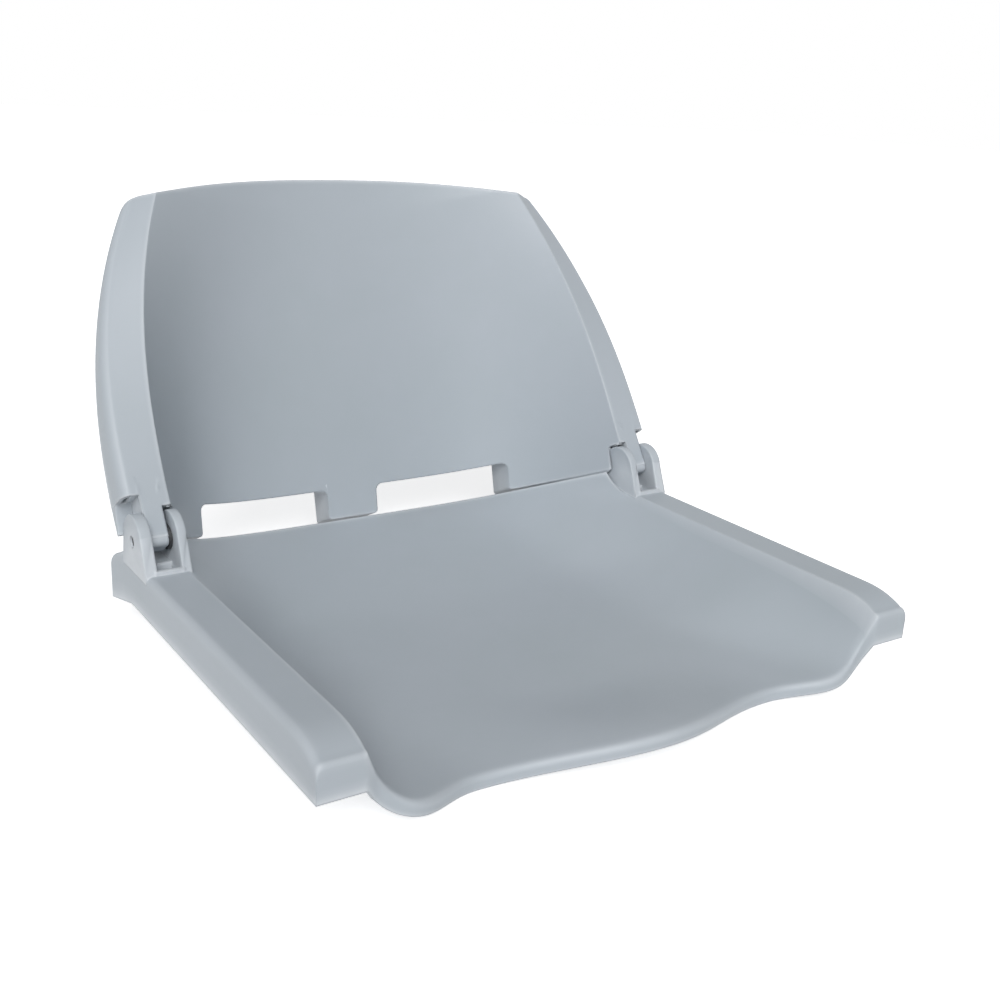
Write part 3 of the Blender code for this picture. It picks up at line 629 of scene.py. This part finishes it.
class Pan:
    """The seat pan's surface: a dish between two rails, with a lobed front lip."""

    NOSE_POWER = 2.5
    SIDE_POWER_FRONT = 3.2
    SIDE_POWER = 2.55
    STEEP_SHARE = 0.35
    REAR_POWER = 8
    FRONT_SHARE = 0.24
    KNEE_SHARE = 0.6
    KNEE_SOFT = 0.05
    COLUMNS, COLUMN_EASE = 46, 0.8
    ROWS, ROW_EASE = 60, 0.4
    FACE_STEPS, ROUND_STEPS, LIP_STEPS = 4, 6, 5
    LIP_ROUND, EDGE_MARGIN = 4 * MM, 6 * MM
    BEFORE_SLOT, SLOT_SHARES = 2, (0.0, 0.33, 0.67, 1.0)
    SLOT_FRONT, SLOT_REAR, SLOT_STEP = 4 * MM, 22 * MM, 11 * MM
    SLOT_DEPTH, SLOT_HIGH, SLOT_LOW, SLOT_SOFT = 13 * MM, 4 * MM, 8 * MM, 0.6 * MM
    LAP, CHEEK_DROP = 1 * MM, 2 * MM
    HEEL_LEAD, HEEL_STEP, HEEL_STEPS = 16 * MM, 4 * MM, 5
    HEEL_FALL, HEEL_ROUND, HEEL_SOFT = 12 * MM, 5 * MM, 0.6 * MM

    def __init__(self, sizes, back):
        self.s = sizes
        self.back = back
        self.half = sizes.width / 2
        self.rail_inner = self.half - sizes.rail_width
        self.rail_bottom = sizes.rail_top - sizes.rail_depth
        self.rail_end = HINGE.y + sizes.ear_rear

    def rail_height(self, y):
        s = self.s
        t = max(0.0, (s.rail_front + s.nose_length - y) / s.nose_length)
        return s.rail_top - s.nose_drop * t ** self.NOSE_POWER

    def nose_height(self):
        """Height of a rail where its front edge's rounding ends."""
        return self.rail_height(self.s.rail_front + self.LIP_ROUND)

    def side_blend(self, x, v):
        """0 at a rail's inner edge, 1 on the floor and bowl-shaped between, steeper at the front."""
        ease = smooth(v / self.STEEP_SHARE)
        run = mix(self.s.side_run_front, self.s.side_run, ease)
        t = min(max(1 - (self.rail_inner - abs(x)) / run, 0.0), 1.0)
        return 1 - t ** mix(self.SIDE_POWER_FRONT, self.SIDE_POWER, ease)

    def lobe(self, x):
        return hump(abs(x) - self.s.lobe_x, self.s.lobe_x - self.s.scoop_x)

    def lip_front(self, x):
        s = self.s
        reach = s.pommel_reach * hump(x, s.scoop_x) + s.lobe_reach * self.lobe(x)
        return mix(s.rail_front, s.lip_y - reach, self.side_blend(x, 0.0))

    def lip_base(self, x):
        s = self.s
        return s.lip_low + s.pommel_rise * hump(x, s.scoop_x) + s.lobe_rise * self.lobe(x)

    def lip_span(self, x):
        """Heights of the lip's bottom and top edges."""
        blend = self.side_blend(x, 0.0)
        low = mix(self.rail_bottom, self.lip_base(x), blend)
        high = mix(self.nose_height(), self.lip_base(x) + self.s.lip_height, blend)
        return low, high

    def rear_edge(self, x):
        """The dish's rear edge lies just under the backrest's bottom edge."""
        share = abs(x) / self.back.panel_half
        depth = self.back.s.depth_bottom * (1 - share ** self.back.TUB_BOTTOM)
        return self.back.place(x, self.back.plain_bottom(share) - self.s.rear_gap, depth)

    def dish_point(self, x, v):
        s = self.s
        _, rear_y, rear_z = self.rear_edge(x)
        front_z = self.lip_base(x) + s.lip_height
        floor = s.floor + s.floor_side_rise * (x / self.rail_inner) ** 2
        y = mix(self.lip_front(x), rear_y, v)
        dish = mix(front_z, floor, smooth(v / self.FRONT_SHARE)) + (rear_z - floor) * self.rear_slope(v)
        blend = mix(self.side_blend(x, v), 1.0, v ** self.REAR_POWER)
        return (x, y, mix(self.rail_height(y), dish, blend))

    def rear_slope(self, v):
        """0 on the dish floor, then a soft knee and an even slope up to 1 at the rear edge."""
        return self.knee(v) / self.knee(1.0)

    def knee(self, v):
        past = v - self.KNEE_SHARE
        return past + math.sqrt(past ** 2 + self.KNEE_SOFT ** 2)

    def dish_xs(self):
        """Columns of the dish, closer together at the side."""
        edge = self.rail_inner - self.EDGE_MARGIN
        return spread(0, edge, self.COLUMNS, lambda t: mix(t, quarter(t), self.COLUMN_EASE)) + [edge]

    def slot(self):
        """The slot between the ears: its two x and its two y."""
        back, front = self.back.s, HINGE.y - self.s.ear_front
        inner, outer = tongue_span(self.s, back)
        across = inner - back.inner_gap, outer + back.outer_gap
        return across, (front + self.SLOT_FRONT, front + self.SLOT_REAR)

    def slot_hole(self):
        """The hole in the skin over a slot, whose edges lie hidden in the ears and the sill."""
        return [(low - self.LAP, high + self.LAP) for low, high in self.slot()]

    def rail_columns(self):
        """Across a rail's flat top and rounded edge: x and how far below the top."""
        (slot_in, slot_out), _ = self.slot_hole()
        flat = spread(self.rail_inner, slot_in, self.BEFORE_SLOT)
        flat += [mix(slot_in, slot_out, share) for share in self.SLOT_SHARES]
        edge = arc(self.s.edge_round, self.ROUND_STEPS)
        return [(x, 0.0) for x in flat] + [(self.half - short, lower) for short, lower in edge]

    def rail_rows(self):
        """Shares along a rail, with rows at both ends of the hinge slot."""
        run = self.rail_end - self.s.rail_front
        vs = [mix(self.LIP_ROUND / run, 1.0, t) for t in eased_shares(self.ROWS, self.ROW_EASE)]
        _, slot_ys = self.slot_hole()
        for y in slot_ys:
            share = (y - self.s.rail_front) / run
            nearest = min(range(len(vs)), key=lambda i: abs(vs[i] - share))
            vs[nearest] = share
        return vs

    def top_row(self, v):
        side = [self.dish_point(x, v) for x in self.dish_xs()]
        y = mix(self.s.rail_front, self.rail_end, v)
        height = self.rail_height(y)
        return both_sides(side + self.rail_row(y, height))

    def rail_row(self, y, height):
        """Points across a rail, over its edge and down its outer face."""
        side = [(x, y, height - lower) for x, lower in self.rail_columns()]
        low, foot = height - self.s.edge_round, self.rail_foot(y)
        return side + [(self.half, y, mix(low, foot, t)) for t in shares(self.FACE_STEPS)[1:]]

    def rail_foot(self, y):
        """Height of a rail's bottom edge, which drops along the heel."""
        start, end = self.rail_end - self.HEEL_LEAD, self.rail_end + self.s.heel_length
        return self.rail_bottom - self.s.heel_drop * min(max((y - start) / (end - start), 0.0), 1.0)

    def heel_rows(self):
        """Places along the heel behind a rail: y and the height of its top."""
        start, rear = self.rail_end + self.LAP, self.rail_end + self.s.heel_length
        top, radius = self.s.rail_top + self.HEEL_STEP, self.HEEL_ROUND
        rows = [(self.rail_end, self.s.rail_top), (start - self.HEEL_SOFT, top - self.HEEL_SOFT)]
        rows += [(mix(start, rear - radius, t), top - self.HEEL_FALL * t) for t in shares(self.HEEL_STEPS)]
        edge, low = arc(radius, self.HEEL_STEPS), top - self.HEEL_FALL
        return rows + [(rear - short, low - lower) for short, lower in edge[1:]]

    def heel(self, bm, side):
        """The block behind a rail: its skin, inner wall and rear wall."""
        rows = self.heel_rows()
        net = [[(side * x, y, z) for x, y, z in self.rail_row(y, height)] for y, height in rows]
        sheet(bm, net)
        rear, foot = rows[-1][0], self.rail_foot(rows[-1][0])
        flat_face(bm, net[-1] + [(side * self.rail_inner, rear, foot)])
        front = self.rail_end - self.HEEL_LEAD
        inner = rows + [(rear, foot), (front, self.rail_bottom), (front, self.rail_bottom + self.s.wall)]
        flat_face(bm, [(side * self.rail_inner, y, z) for y, z in inner])

    def front_columns(self):
        """Front face columns: x, y, bottom and top heights."""
        columns = [(x, self.lip_front(x), *self.lip_span(x)) for x in self.dish_xs()]
        top = self.nose_height()
        columns += [(x, self.s.rail_front, self.rail_bottom, top - lower) for x, lower in self.rail_columns()]
        return columns

    def front_rows(self):
        """Rows up the front face and over its rounded top edge."""
        radius, columns = self.LIP_ROUND, self.front_columns()
        rows = []
        for t in shares(self.FACE_STEPS):
            rows.append([(x, y, mix(low, high - radius, t)) for x, y, low, high in columns])
        for below, behind in arc(radius, self.LIP_STEPS)[1:-1]:
            rows.append([(x, y + behind, high - below) for x, y, _, high in columns])
        return [both_sides(row) for row in rows]

    def slot_cells(self, vs):
        """Cells of the sheet that the hinge slots take out."""
        _, (y_from, y_to) = self.slot_hole()
        span = self.rail_end - self.s.rail_front
        middle = len(self.dish_xs()) + len(self.rail_columns()) + self.FACE_STEPS - 1
        first = len(self.dish_xs()) + self.BEFORE_SLOT
        cells = []
        for k in range(len(vs) - 1):
            y = self.s.rail_front + span * 0.5 * (vs[k] + vs[k + 1])
            if y_from < y < y_to:
                for i in range(first, first + len(self.SLOT_SHARES) - 1):
                    cells += [(k, middle + i), (k, middle - 1 - i)]
        return set(cells)

    def slot_floor(self, side):
        """The stepped floor and the walls of a hinge slot, as blocks under the rail's skin."""
        (x_in, x_out), (y_from, y_to) = self.slot()
        top, wall, lap = self.s.rail_top, self.s.wall, self.LAP
        step, under = y_from + self.SLOT_STEP, top - self.SLOT_DEPTH
        across = (side * (x_in - wall), side * (x_out + wall))
        inner = (side * (x_in - wall), side * (x_in - SET_BACK))
        outer = (side * (x_out + SET_BACK), side * (x_out + wall))
        cheek = (y_from, y_to + lap), (under + lap, top - self.CHEEK_DROP)
        return [
            box(across, (y_from - wall, step), (under, top - self.SLOT_HIGH), self.SLOT_SOFT),
            box(across, (step - lap, y_to + wall), (under, top - self.SLOT_LOW), self.SLOT_SOFT),
            box(across, (y_to, y_to + wall), (under - lap, top + SET_BACK)),
            box(inner, *cheek),
            box(outer, *cheek),
        ]

    def nose_face(self, bm, side):
        """The corner of a rail's outer face beside its nose."""
        edge = [row[-1] for row in self.front_rows()]
        first = self.top_row(self.rail_rows()[0])[-self.FACE_STEPS - 1:]
        flat_face(bm, [(side * abs(x), y, z) for x, y, z in edge + first])

    def shell(self, bm):
        vs = self.rail_rows()
        sheet(bm, self.front_rows() + [self.narrow(self.top_row(vs[0]))])
        sheet(bm, [self.top_row(v) for v in vs], self.slot_cells(vs))
        for side in (-1, 1):
            self.nose_face(bm, side)
            self.heel(bm, side)
        tidy(bm)
        face_towards(bm, Vector((0, 0, 1)))
        thicken(bm, self.s.wall)
        for side in (-1, 1):
            for block in self.slot_floor(side):
                append(bm, block)

    def narrow(self, row):
        """A top row without the outer faces of the rails."""
        return row[self.FACE_STEPS:-self.FACE_STEPS]

    def skin_height(self, x, y):
        front = self.lip_front(x)
        return self.dish_point(x, (y - front) / (self.rear_edge(x)[1] - front))[2]

    def roof(self, spots):
        """Height that stays inside the pan's wall over some points."""
        return min(self.skin_height(x, y) for x, y in spots) - self.s.wall / 2


HEAD_STEPS = 40
HOLE_OVER, PIN_SEAT = 5 * MM, 4.5 * MM
SILL_LAP, SILL_GAP, SILL_DEPTH = 2 * MM, 0.2 * MM, 6 * MM
SILL_HEIGHT, SILL_SOFT = 3 * MM, 1.2 * MM
RIB, RIB_LIFT, RIB_LAP, RIB_SOFT = 5 * MM, 0.3 * MM, 2 * MM, 0.4 * MM
RIB_FRONT, RIB_REAR, RIB_STEPS = -120 * MM, 150 * MM, 15
CROSS_STEPS, ROOF_SPOTS = 12, 16
BOSS_RADIUS, BOSS_BORE, BOSS_DEPTH, BOSS_EDGE = 11 * MM, 5.3 * MM, 8 * MM, 0.6 * MM
HUB_RADIUS, HUB_EDGE, HUB_SEGMENTS = 24 * MM, 0.8 * MM, 64


def tangent_angle(radius, point, turn):
    """Direction from the pin to where a line from a point touches an ear's head, in degrees."""
    dy, dz = point[0] - HINGE.y, point[1] - HINGE.z
    towards = math.atan2(dz, dy)
    if turn > 0 and towards < 0:
        towards += 2 * math.pi
    opening = math.acos(min(1.0, radius / math.hypot(dy, dz)))
    return math.degrees(towards - turn * opening)


def ear_outline(pan):
    """Side view of a hinge ear: a foot on the rail, sloping up to a round head about the pin."""
    s = pan.s
    front = (HINGE.y - s.ear_front, s.rail_top)
    rear = (pan.rail_end, s.rail_top + pan.HEEL_STEP)
    start, end = tangent_angle(s.ear_radius, rear, -1), tangent_angle(s.ear_radius, front, 1)
    head = [about_hinge(s.ear_radius, mix(start, end, t)) for t in shares(HEAD_STEPS)]
    root = s.rail_top - s.edge_round
    return [(rear[0], root), rear] + head + [front, (front[0], root)]


def ear(pan, x_from, x_to, hole_from, hole_to):
    """A hinge ear with the hole for the pin."""
    part = prism(ear_outline(pan), x_from, x_to, pan.s.ear_soft, pan.s.rail_top)
    made = make_object("ear", part, None)
    bpy.ops.mesh.primitive_cylinder_add(
        vertices=ROUND_SEGMENTS, radius=pan.s.pin_hole, depth=abs(hole_to - hole_from),
        rotation=(0, math.pi / 2, 0), location=((hole_from + hole_to) / 2, HINGE.y, HINGE.z))
    cutter = bpy.context.object
    step = made.modifiers.new("pin_hole", "BOOLEAN")
    step.operation, step.solver, step.object = "DIFFERENCE", "EXACT", cutter
    cut = bmesh.new()
    cut.from_object(made, bpy.context.evaluated_depsgraph_get())
    bpy.data.objects.remove(cutter)
    bpy.data.objects.remove(made)
    return cut


def add_hinge_seat(bm, pan, side):
    """Ears and the sill between them on one rail."""
    s = pan.s
    (slot_in, slot_out), (sill_rear, _) = pan.slot()
    outer = slot_out, pan.half + SET_BACK, slot_out - HOLE_OVER, pan.half + HOLE_OVER
    inner = slot_in - s.inner_ear, slot_in, slot_in - PIN_SEAT, slot_in + HOLE_OVER
    for spans in (outer, inner):
        append(bm, ear(pan, *(side * x for x in spans)))
    across = side * (slot_in - SILL_LAP), side * (slot_out + SILL_LAP)
    along = HINGE.y - s.ear_front + SILL_GAP, sill_rear
    append(bm, box(across, along, (s.rail_top - SILL_DEPTH, s.rail_top + SILL_HEIGHT), SILL_SOFT))


def add_underside(bm, pan):
    """Ribs, bosses and hub that carry the pedestal plate."""
    half = pan.s.mount_spacing / 2
    reach = half - BOSS_RADIUS + RIB_LAP
    for x in (-half, half):
        for y_from, y_to in ((RIB_FRONT, -2 * half + reach), (-reach, reach), (2 * half - reach, RIB_REAR)):
            add_long_rib(bm, pan, x, y_from, y_to)
        for y in (-half, half):
            bore = [(BOSS_BORE, BOSS_DEPTH), (BOSS_BORE, 0.0)]
            append(bm, disc((x, y, 0), bore + post(pan, x, y, BOSS_RADIUS, BOSS_EDGE)))
    for y, end in ((-half, reach), (0.0, half), (half, reach)):
        roof = pan.roof([(mix(-half, half, t), y) for t in shares(CROSS_STEPS)])
        append(bm, box((-end, end), (y - RIB / 2, y + RIB / 2), (RIB_LIFT, roof), RIB_SOFT))
    append(bm, disc((0, 0, 0), [(0, 0)] + post(pan, 0.0, 0.0, HUB_RADIUS, HUB_EDGE), HUB_SEGMENTS))


def post(pan, x, y, radius, edge):
    """Profile of a post's broken bottom edge and side, up into the pan's wall."""
    turns = spread(0, 2 * math.pi, ROOF_SPOTS)
    roof = pan.roof([(x + radius * math.cos(turn), y + radius * math.sin(turn)) for turn in turns])
    return [(radius - edge, 0.0), (radius, edge), (radius, roof)]


def add_long_rib(bm, pan, x, y_from, y_to):
    """A rib from front to rear whose top follows the pan."""
    outline = [(y_from, RIB_LIFT), (y_to, RIB_LIFT)]
    for t in shares(RIB_STEPS):
        y = mix(y_to, y_from, t)
        outline.append((y, pan.roof([(x - RIB / 2, y), (x + RIB / 2, y)])))
    append(bm, prism(outline, x - RIB / 2, x + RIB / 2, RIB_SOFT))


def build_seat_pan(sizes, back_values, material):
    pan = Pan(sizes, Backrest(back_values, sizes))
    bm = bmesh.new()
    pan.shell(bm)
    for side in (-1, 1):
        add_hinge_seat(bm, pan, side)
    add_underside(bm, pan)
    return make_object("seat_pan_moulding", bm, material)


# Finishes


SEEN_RAYS = ("Is Camera Ray", "Is Glossy Ray", "Is Transmission Ray")
MIX_AMOUNT, MIX_FIRST, MIX_SECOND, MIX_RESULT = 0, 6, 7, 2
WHITE = (1.0, 1.0, 1.0, 1.0)


class Value:
    """A shader value. Sums with it add Math nodes."""

    def __init__(self, graph, socket):
        self.graph = graph
        self.socket = socket

    def sum(self, operation, first, second):
        return self.graph.value("Math", {0: first, 1: second}, operation=operation)

    def __add__(self, other):
        return self.sum("ADD", self, other)

    def __radd__(self, other):
        return self.sum("ADD", other, self)

    def __sub__(self, other):
        return self.sum("SUBTRACT", self, other)

    def __rsub__(self, other):
        return self.sum("SUBTRACT", other, self)

    def __mul__(self, other):
        return self.sum("MULTIPLY", self, other)

    def __rmul__(self, other):
        return self.sum("MULTIPLY", other, self)

    def limited(self):
        return self.graph.value("Clamp", {"Value": self})


class Graph:
    """The nodes of one material or world."""

    def __init__(self, owner):
        owner.use_nodes = True
        self.tree = owner.node_tree
        self.tree.nodes.clear()

    def node(self, kind, sockets, **settings):
        made = self.tree.nodes.new("ShaderNode" + kind)
        for name, value in settings.items():
            setattr(made, name, value)
        for name, value in sockets.items():
            if isinstance(value, Value):
                self.tree.links.new(value.socket, made.inputs[name])
            else:
                made.inputs[name].default_value = value
        return made

    def value(self, kind, sockets, output=0, **settings):
        return Value(self, self.node(kind, sockets, **settings).outputs[output])

    def noise(self, scale, detail=2.0, rough=0.5):
        place = self.value("TexCoord", {}, "Object")
        return self.value("TexNoise", {
            "Vector": place, "Scale": scale, "Detail": detail, "Roughness": rough})

    def seen(self):
        """1 for rays from the camera, straight, by gloss or through clear things, and 0 for other light."""
        path = self.node("LightPath", {})
        camera, gloss, clear = (Value(self, path.outputs[name]) for name in SEEN_RAYS)
        return (camera + gloss + clear).limited()

    def blend(self, first, second, amount):
        """A colour between two colours."""
        sockets = {MIX_AMOUNT: amount, MIX_FIRST: first, MIX_SECOND: second}
        return self.value("Mix", sockets, MIX_RESULT, data_type="RGBA")

    def output(self, shader):
        self.node("OutputMaterial", {"Surface": shader})


def rgba(colour):
    return (*colour, 1.0)


MARKS_FLOW, MARKS_CLOUD, MARKS_FROM, MARKS_GAIN = 0.7, 0.3, 0.32, 1.5
# Edges are painted paler by their pointiness: partly rubbed wear, partly a painted highlight.
WEAR_HIGHLIGHT_FROM, WEAR_HIGHLIGHT_GAIN, WEAR_HIGHLIGHT_LEAST, WEAR_HIGHLIGHT_SPREAD = 0.505, 14.0, 0.35, 0.6
LEAST_ROUGH, FLOW_ROUGH, PIT_ROUGH = 0.40, 0.08, 0.12
GRAIN_HEIGHT, PIT_HEIGHT = 0.6, 0.4
PATCH_SHADE, PATCH_FROM, PATCH_GAIN, PATCH_ROUGH = 0.72, 0.4, 2.2, 0.2
FLOOR_LIFT = 0.66


def plastic_material():
    """Moulded plastic: faint flow marks, a fine spark-eroded grain and paler edges, partly rubbed wear and
    partly a painted highlight.
    """
    material = bpy.data.materials.new("moulded_plastic")
    graph = Graph(material)
    colours = finishes()
    flow = graph.noise(scale=7.0, detail=3.0)
    cloud = graph.noise(scale=38.0, detail=4.0, rough=0.6)
    grain = graph.noise(scale=1500.0)
    pit = graph.noise(scale=420.0, detail=3.0, rough=0.6)
    marks = (flow * MARKS_FLOW + cloud * MARKS_CLOUD - MARKS_FROM) * MARKS_GAIN
    base = graph.blend(rgba(colours.plastic), rgba(colours.plastic_dark), marks.limited())
    point = graph.value("NewGeometry", {}, "Pointiness")
    # Painted highlight with wear: convex edges get a paler colour, as if catching the light, mixed with
    # rubbed wear.
    wear_and_highlight = ((point - WEAR_HIGHLIGHT_FROM) * WEAR_HIGHLIGHT_GAIN).limited() * (WEAR_HIGHLIGHT_LEAST + cloud * WEAR_HIGHLIGHT_SPREAD)
    colour = graph.blend(base, rgba(colours.plastic_wear_and_highlight), wear_and_highlight)
    rough = LEAST_ROUGH + flow * FLOW_ROUGH + pit * PIT_ROUGH
    soft = graph.value("Bevel", {"Radius": 2.2 * MM}, samples=6)
    height = grain * GRAIN_HEIGHT + pit * PIT_HEIGHT
    normal = graph.value("Bump", {
        "Strength": 0.18, "Distance": 0.25 * MM, "Height": height, "Normal": soft})
    shader = graph.value("BsdfPrincipled", {
        "Base Color": colour, "Roughness": rough, "Normal": normal, "IOR": 1.49})
    graph.output(shader)
    return material


def turned_material(name, colour, roughness, metallic):
    """Turned or moulded small pieces, with fine tool marks and uneven gloss."""
    material = bpy.data.materials.new(name)
    graph = Graph(material)
    patch = graph.noise(scale=260.0, detail=4.0, rough=0.6)
    marks = graph.noise(scale=2600.0)
    dark = tuple(channel * PATCH_SHADE for channel in colour)
    base = graph.blend(rgba(colour), rgba(dark), ((patch - PATCH_FROM) * PATCH_GAIN).limited())
    normal = graph.value("Bump", {"Strength": 0.15, "Distance": 0.1 * MM, "Height": marks})
    rough = roughness + patch * PATCH_ROUGH
    shader = graph.value("BsdfPrincipled", {
        "Base Color": base, "Roughness": rough, "Metallic": metallic, "Normal": normal})
    graph.output(shader)
    return material


def floor_material():
    """A pale floor that stays white to the camera and keeps the soft shadow."""
    material = bpy.data.materials.new("studio_floor")
    graph = Graph(material)
    plain = graph.value("BsdfDiffuse", {"Color": rgba(finishes().floor)})
    lift = graph.value("Emission", {"Color": WHITE, "Strength": FLOOR_LIFT})
    bright = graph.value("AddShader", {0: plain, 1: lift})
    graph.output(graph.value("MixShader", {0: graph.seen(), 1: plain, 2: bright}))
    return material


# Operators


class SeatOperator:
    bl_options = {"REGISTER", "UNDO"}


class BOATSEAT_OT_seat_pan(SeatOperator, bpy.types.Operator):
    """Build the seat pan moulding with its rails, hinge ears and underside"""

    bl_idname = "boatseat.seat_pan"
    bl_label = "Seat pan"

    def execute(self, context):
        scene = context.scene
        made = build_seat_pan(scene.boat_seat_pan, scene.boat_seat_back, shared_plastic())
        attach(made, "seat")
        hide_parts("seat_pan")
        return {"FINISHED"}


class BOATSEAT_OT_backrest(SeatOperator, bpy.types.Operator):
    """Build the backrest moulding with its rims, cut-outs and hinge tongues"""

    bl_idname = "boatseat.backrest"
    bl_label = "Backrest"

    def execute(self, context):
        scene = context.scene
        made = build_backrest(scene.boat_seat_pan, scene.boat_seat_back, shared_plastic())
        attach(made, "backrest")
        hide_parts("backrest")
        return {"FINISHED"}


class BOATSEAT_OT_pins(SeatOperator, bpy.types.Operator):
    """Give the hinge pins their turned steel, made near-black partly as painted shade in the pin holes"""

    bl_idname = "boatseat.pins"
    bl_label = "Hinge pins"

    def execute(self, context):
        # The steel colour is near-black partly as painted shade, so the pin holes read dark.
        finish = turned_material("dark_steel_hole_shade", finishes().pin_steel_and_hole_shade, roughness=0.30, metallic=1.0)
        finish_nodes("hinge_pin", finish)
        return {"FINISHED"}


class BOATSEAT_OT_bushes(SeatOperator, bpy.types.Operator):
    """Give the hinge bushes their dark plastic"""

    bl_idname = "boatseat.bushes"
    bl_label = "Hinge bushes"

    def execute(self, context):
        finish = turned_material("bush_plastic", finishes().nylon, roughness=0.38, metallic=0.0)
        finish_nodes("hinge_bush", finish)
        return {"FINISHED"}


class BOATSEAT_OT_inserts(SeatOperator, bpy.types.Operator):
    """Give the threaded inserts their turned brass"""

    bl_idname = "boatseat.inserts"
    bl_label = "Threaded inserts"

    def execute(self, context):
        finish = turned_material("turned_brass", finishes().brass, roughness=0.28, metallic=1.0)
        finish_nodes("mount_insert", finish)
        return {"FINISHED"}


class BOATSEAT_OT_stage(SeatOperator, bpy.types.Operator):
    """Set up the floor, the soft studio light and the camera"""

    bl_idname = "boatseat.stage"
    bl_label = "Stage"

    def execute(self, context):
        add_floor()
        add_world(context.scene)
        add_sun("key_light", **KEY_LIGHT)
        add_sun("side_light", **SIDE_LIGHT)
        add_camera(context.scene)
        return {"FINISHED"}


def shared_plastic():
    """The moulded plastic, made once for both mouldings."""
    return bpy.data.materials.get("moulded_plastic") or plastic_material()


def finish_nodes(start, material):
    """Give the solids whose names start so their finish."""
    nodes = [node for name, node in frame["nodes"].items() if name.startswith(start)]
    if not nodes:
        raise RuntimeError("No solid's name starts with " + start)
    for node in nodes:
        node.data.materials.clear()
        node.data.materials.append(material)


FLOOR_SIZE, FLOOR_CELLS, FLOOR_DROP = 12.0, 8, 0.5 * MM
SKY, SKY_STRENGTH = (0.95, 0.97, 1.0, 1.0), 0.19
KEY_LIGHT = {"source": (-0.34, -0.68, 0.65), "strength": 2.45, "spread_degrees": 35}
SIDE_LIGHT = {"source": (-0.90, -0.10, 0.42), "strength": 0.40, "spread_degrees": 50}
CAMERA_PLACE = Vector((-0.48834, -0.72056, 0.40073))
CAMERA_YAW = math.radians(34.45)
CAMERA_PITCH = math.radians(18.25)
CAMERA_ROLL = math.radians(3.15)
CAMERA_LENS = 45.04
CAMERA_SENSOR = 36.0


def add_floor():
    bm = bmesh.new()
    bmesh.ops.create_grid(bm, x_segments=FLOOR_CELLS, y_segments=FLOOR_CELLS, size=FLOOR_SIZE)
    bmesh.ops.translate(bm, verts=bm.verts, vec=(0, 0, -FLOOR_DROP))
    make_object("floor", bm, floor_material())


def add_world(scene):
    world = bpy.data.worlds.new("studio")
    scene.world = world
    graph = Graph(world)
    light = graph.value("Background", {"Color": SKY, "Strength": SKY_STRENGTH})
    white = graph.value("Background", {"Color": WHITE, "Strength": 1.0})
    mixed = graph.value("MixShader", {0: graph.seen(), 1: light, 2: white})
    graph.node("OutputWorld", {"Surface": mixed})


def add_sun(name, source, strength, spread_degrees):
    """Even light from a direction. A wide spread softens its shadows like a large diffuser."""
    lamp = bpy.data.lights.new(name, "SUN")
    lamp.energy = strength
    lamp.angle = math.radians(spread_degrees)
    made = bpy.data.objects.new(name, lamp)
    made.rotation_euler = Vector(source).to_track_quat("Z", "Y").to_euler()
    bpy.context.scene.collection.objects.link(made)


def add_camera(scene):
    """The photograph's view: a slightly rolled camera above the seat's front right corner."""
    camera = bpy.data.cameras.new("camera")
    camera.lens = CAMERA_LENS
    camera.sensor_width = CAMERA_SENSOR
    view = Matrix.Translation(CAMERA_PLACE)
    for angle, axis in ((-CAMERA_YAW, "Z"), (math.pi / 2 - CAMERA_PITCH, "X"), (CAMERA_ROLL, "Z")):
        view @= Matrix.Rotation(angle, 4, axis)
    made = bpy.data.objects.new("camera", camera)
    made.matrix_world = view
    scene.collection.objects.link(made)
    scene.camera = made
    scene.view_settings.view_transform = "Standard"


class BOATSEAT_PT_panel(bpy.types.Panel):
    """Lists the steps that build the seat, and its sizes and colours."""

    bl_idname = "BOATSEAT_PT_panel"
    bl_label = "Folding boat seat"
    bl_space_type = "VIEW_3D"
    bl_region_type = "UI"
    bl_category = "Boat seat"

    def draw(self, context):
        for step in STEPS:
            self.layout.operator(step.bl_idname)
        for name, group in GROUPS:
            block = self.layout.box()
            for size in group.__annotations__:
                block.prop(getattr(context.scene, name), size)


STEPS = (BOATSEAT_OT_seat_pan, BOATSEAT_OT_backrest, BOATSEAT_OT_pins, BOATSEAT_OT_bushes,
         BOATSEAT_OT_inserts, BOATSEAT_OT_stage)
GROUPS = (("boat_seat_pan", PanSizes), ("boat_seat_back", BackSizes), ("boat_seat_finishes", Finishes))


def register():
    for name, group in GROUPS:
        bpy.utils.register_class(group)
        setattr(bpy.types.Scene, name, bpy.props.PointerProperty(type=group))
    for step in STEPS:
        bpy.utils.register_class(step)
    bpy.utils.register_class(BOATSEAT_PT_panel)


def unregister():
    bpy.utils.unregister_class(BOATSEAT_PT_panel)
    for step in reversed(STEPS):
        bpy.utils.unregister_class(step)
    for name, group in reversed(GROUPS):
        delattr(bpy.types.Scene, name)
        bpy.utils.unregister_class(group)


def main():
    register()
    bpy.ops.boatseat.seat_pan()
    bpy.ops.boatseat.backrest()
    bpy.ops.boatseat.pins()
    bpy.ops.boatseat.bushes()
    bpy.ops.boatseat.inserts()
    bpy.ops.boatseat.stage()


if __name__ == "__main__":
    main()
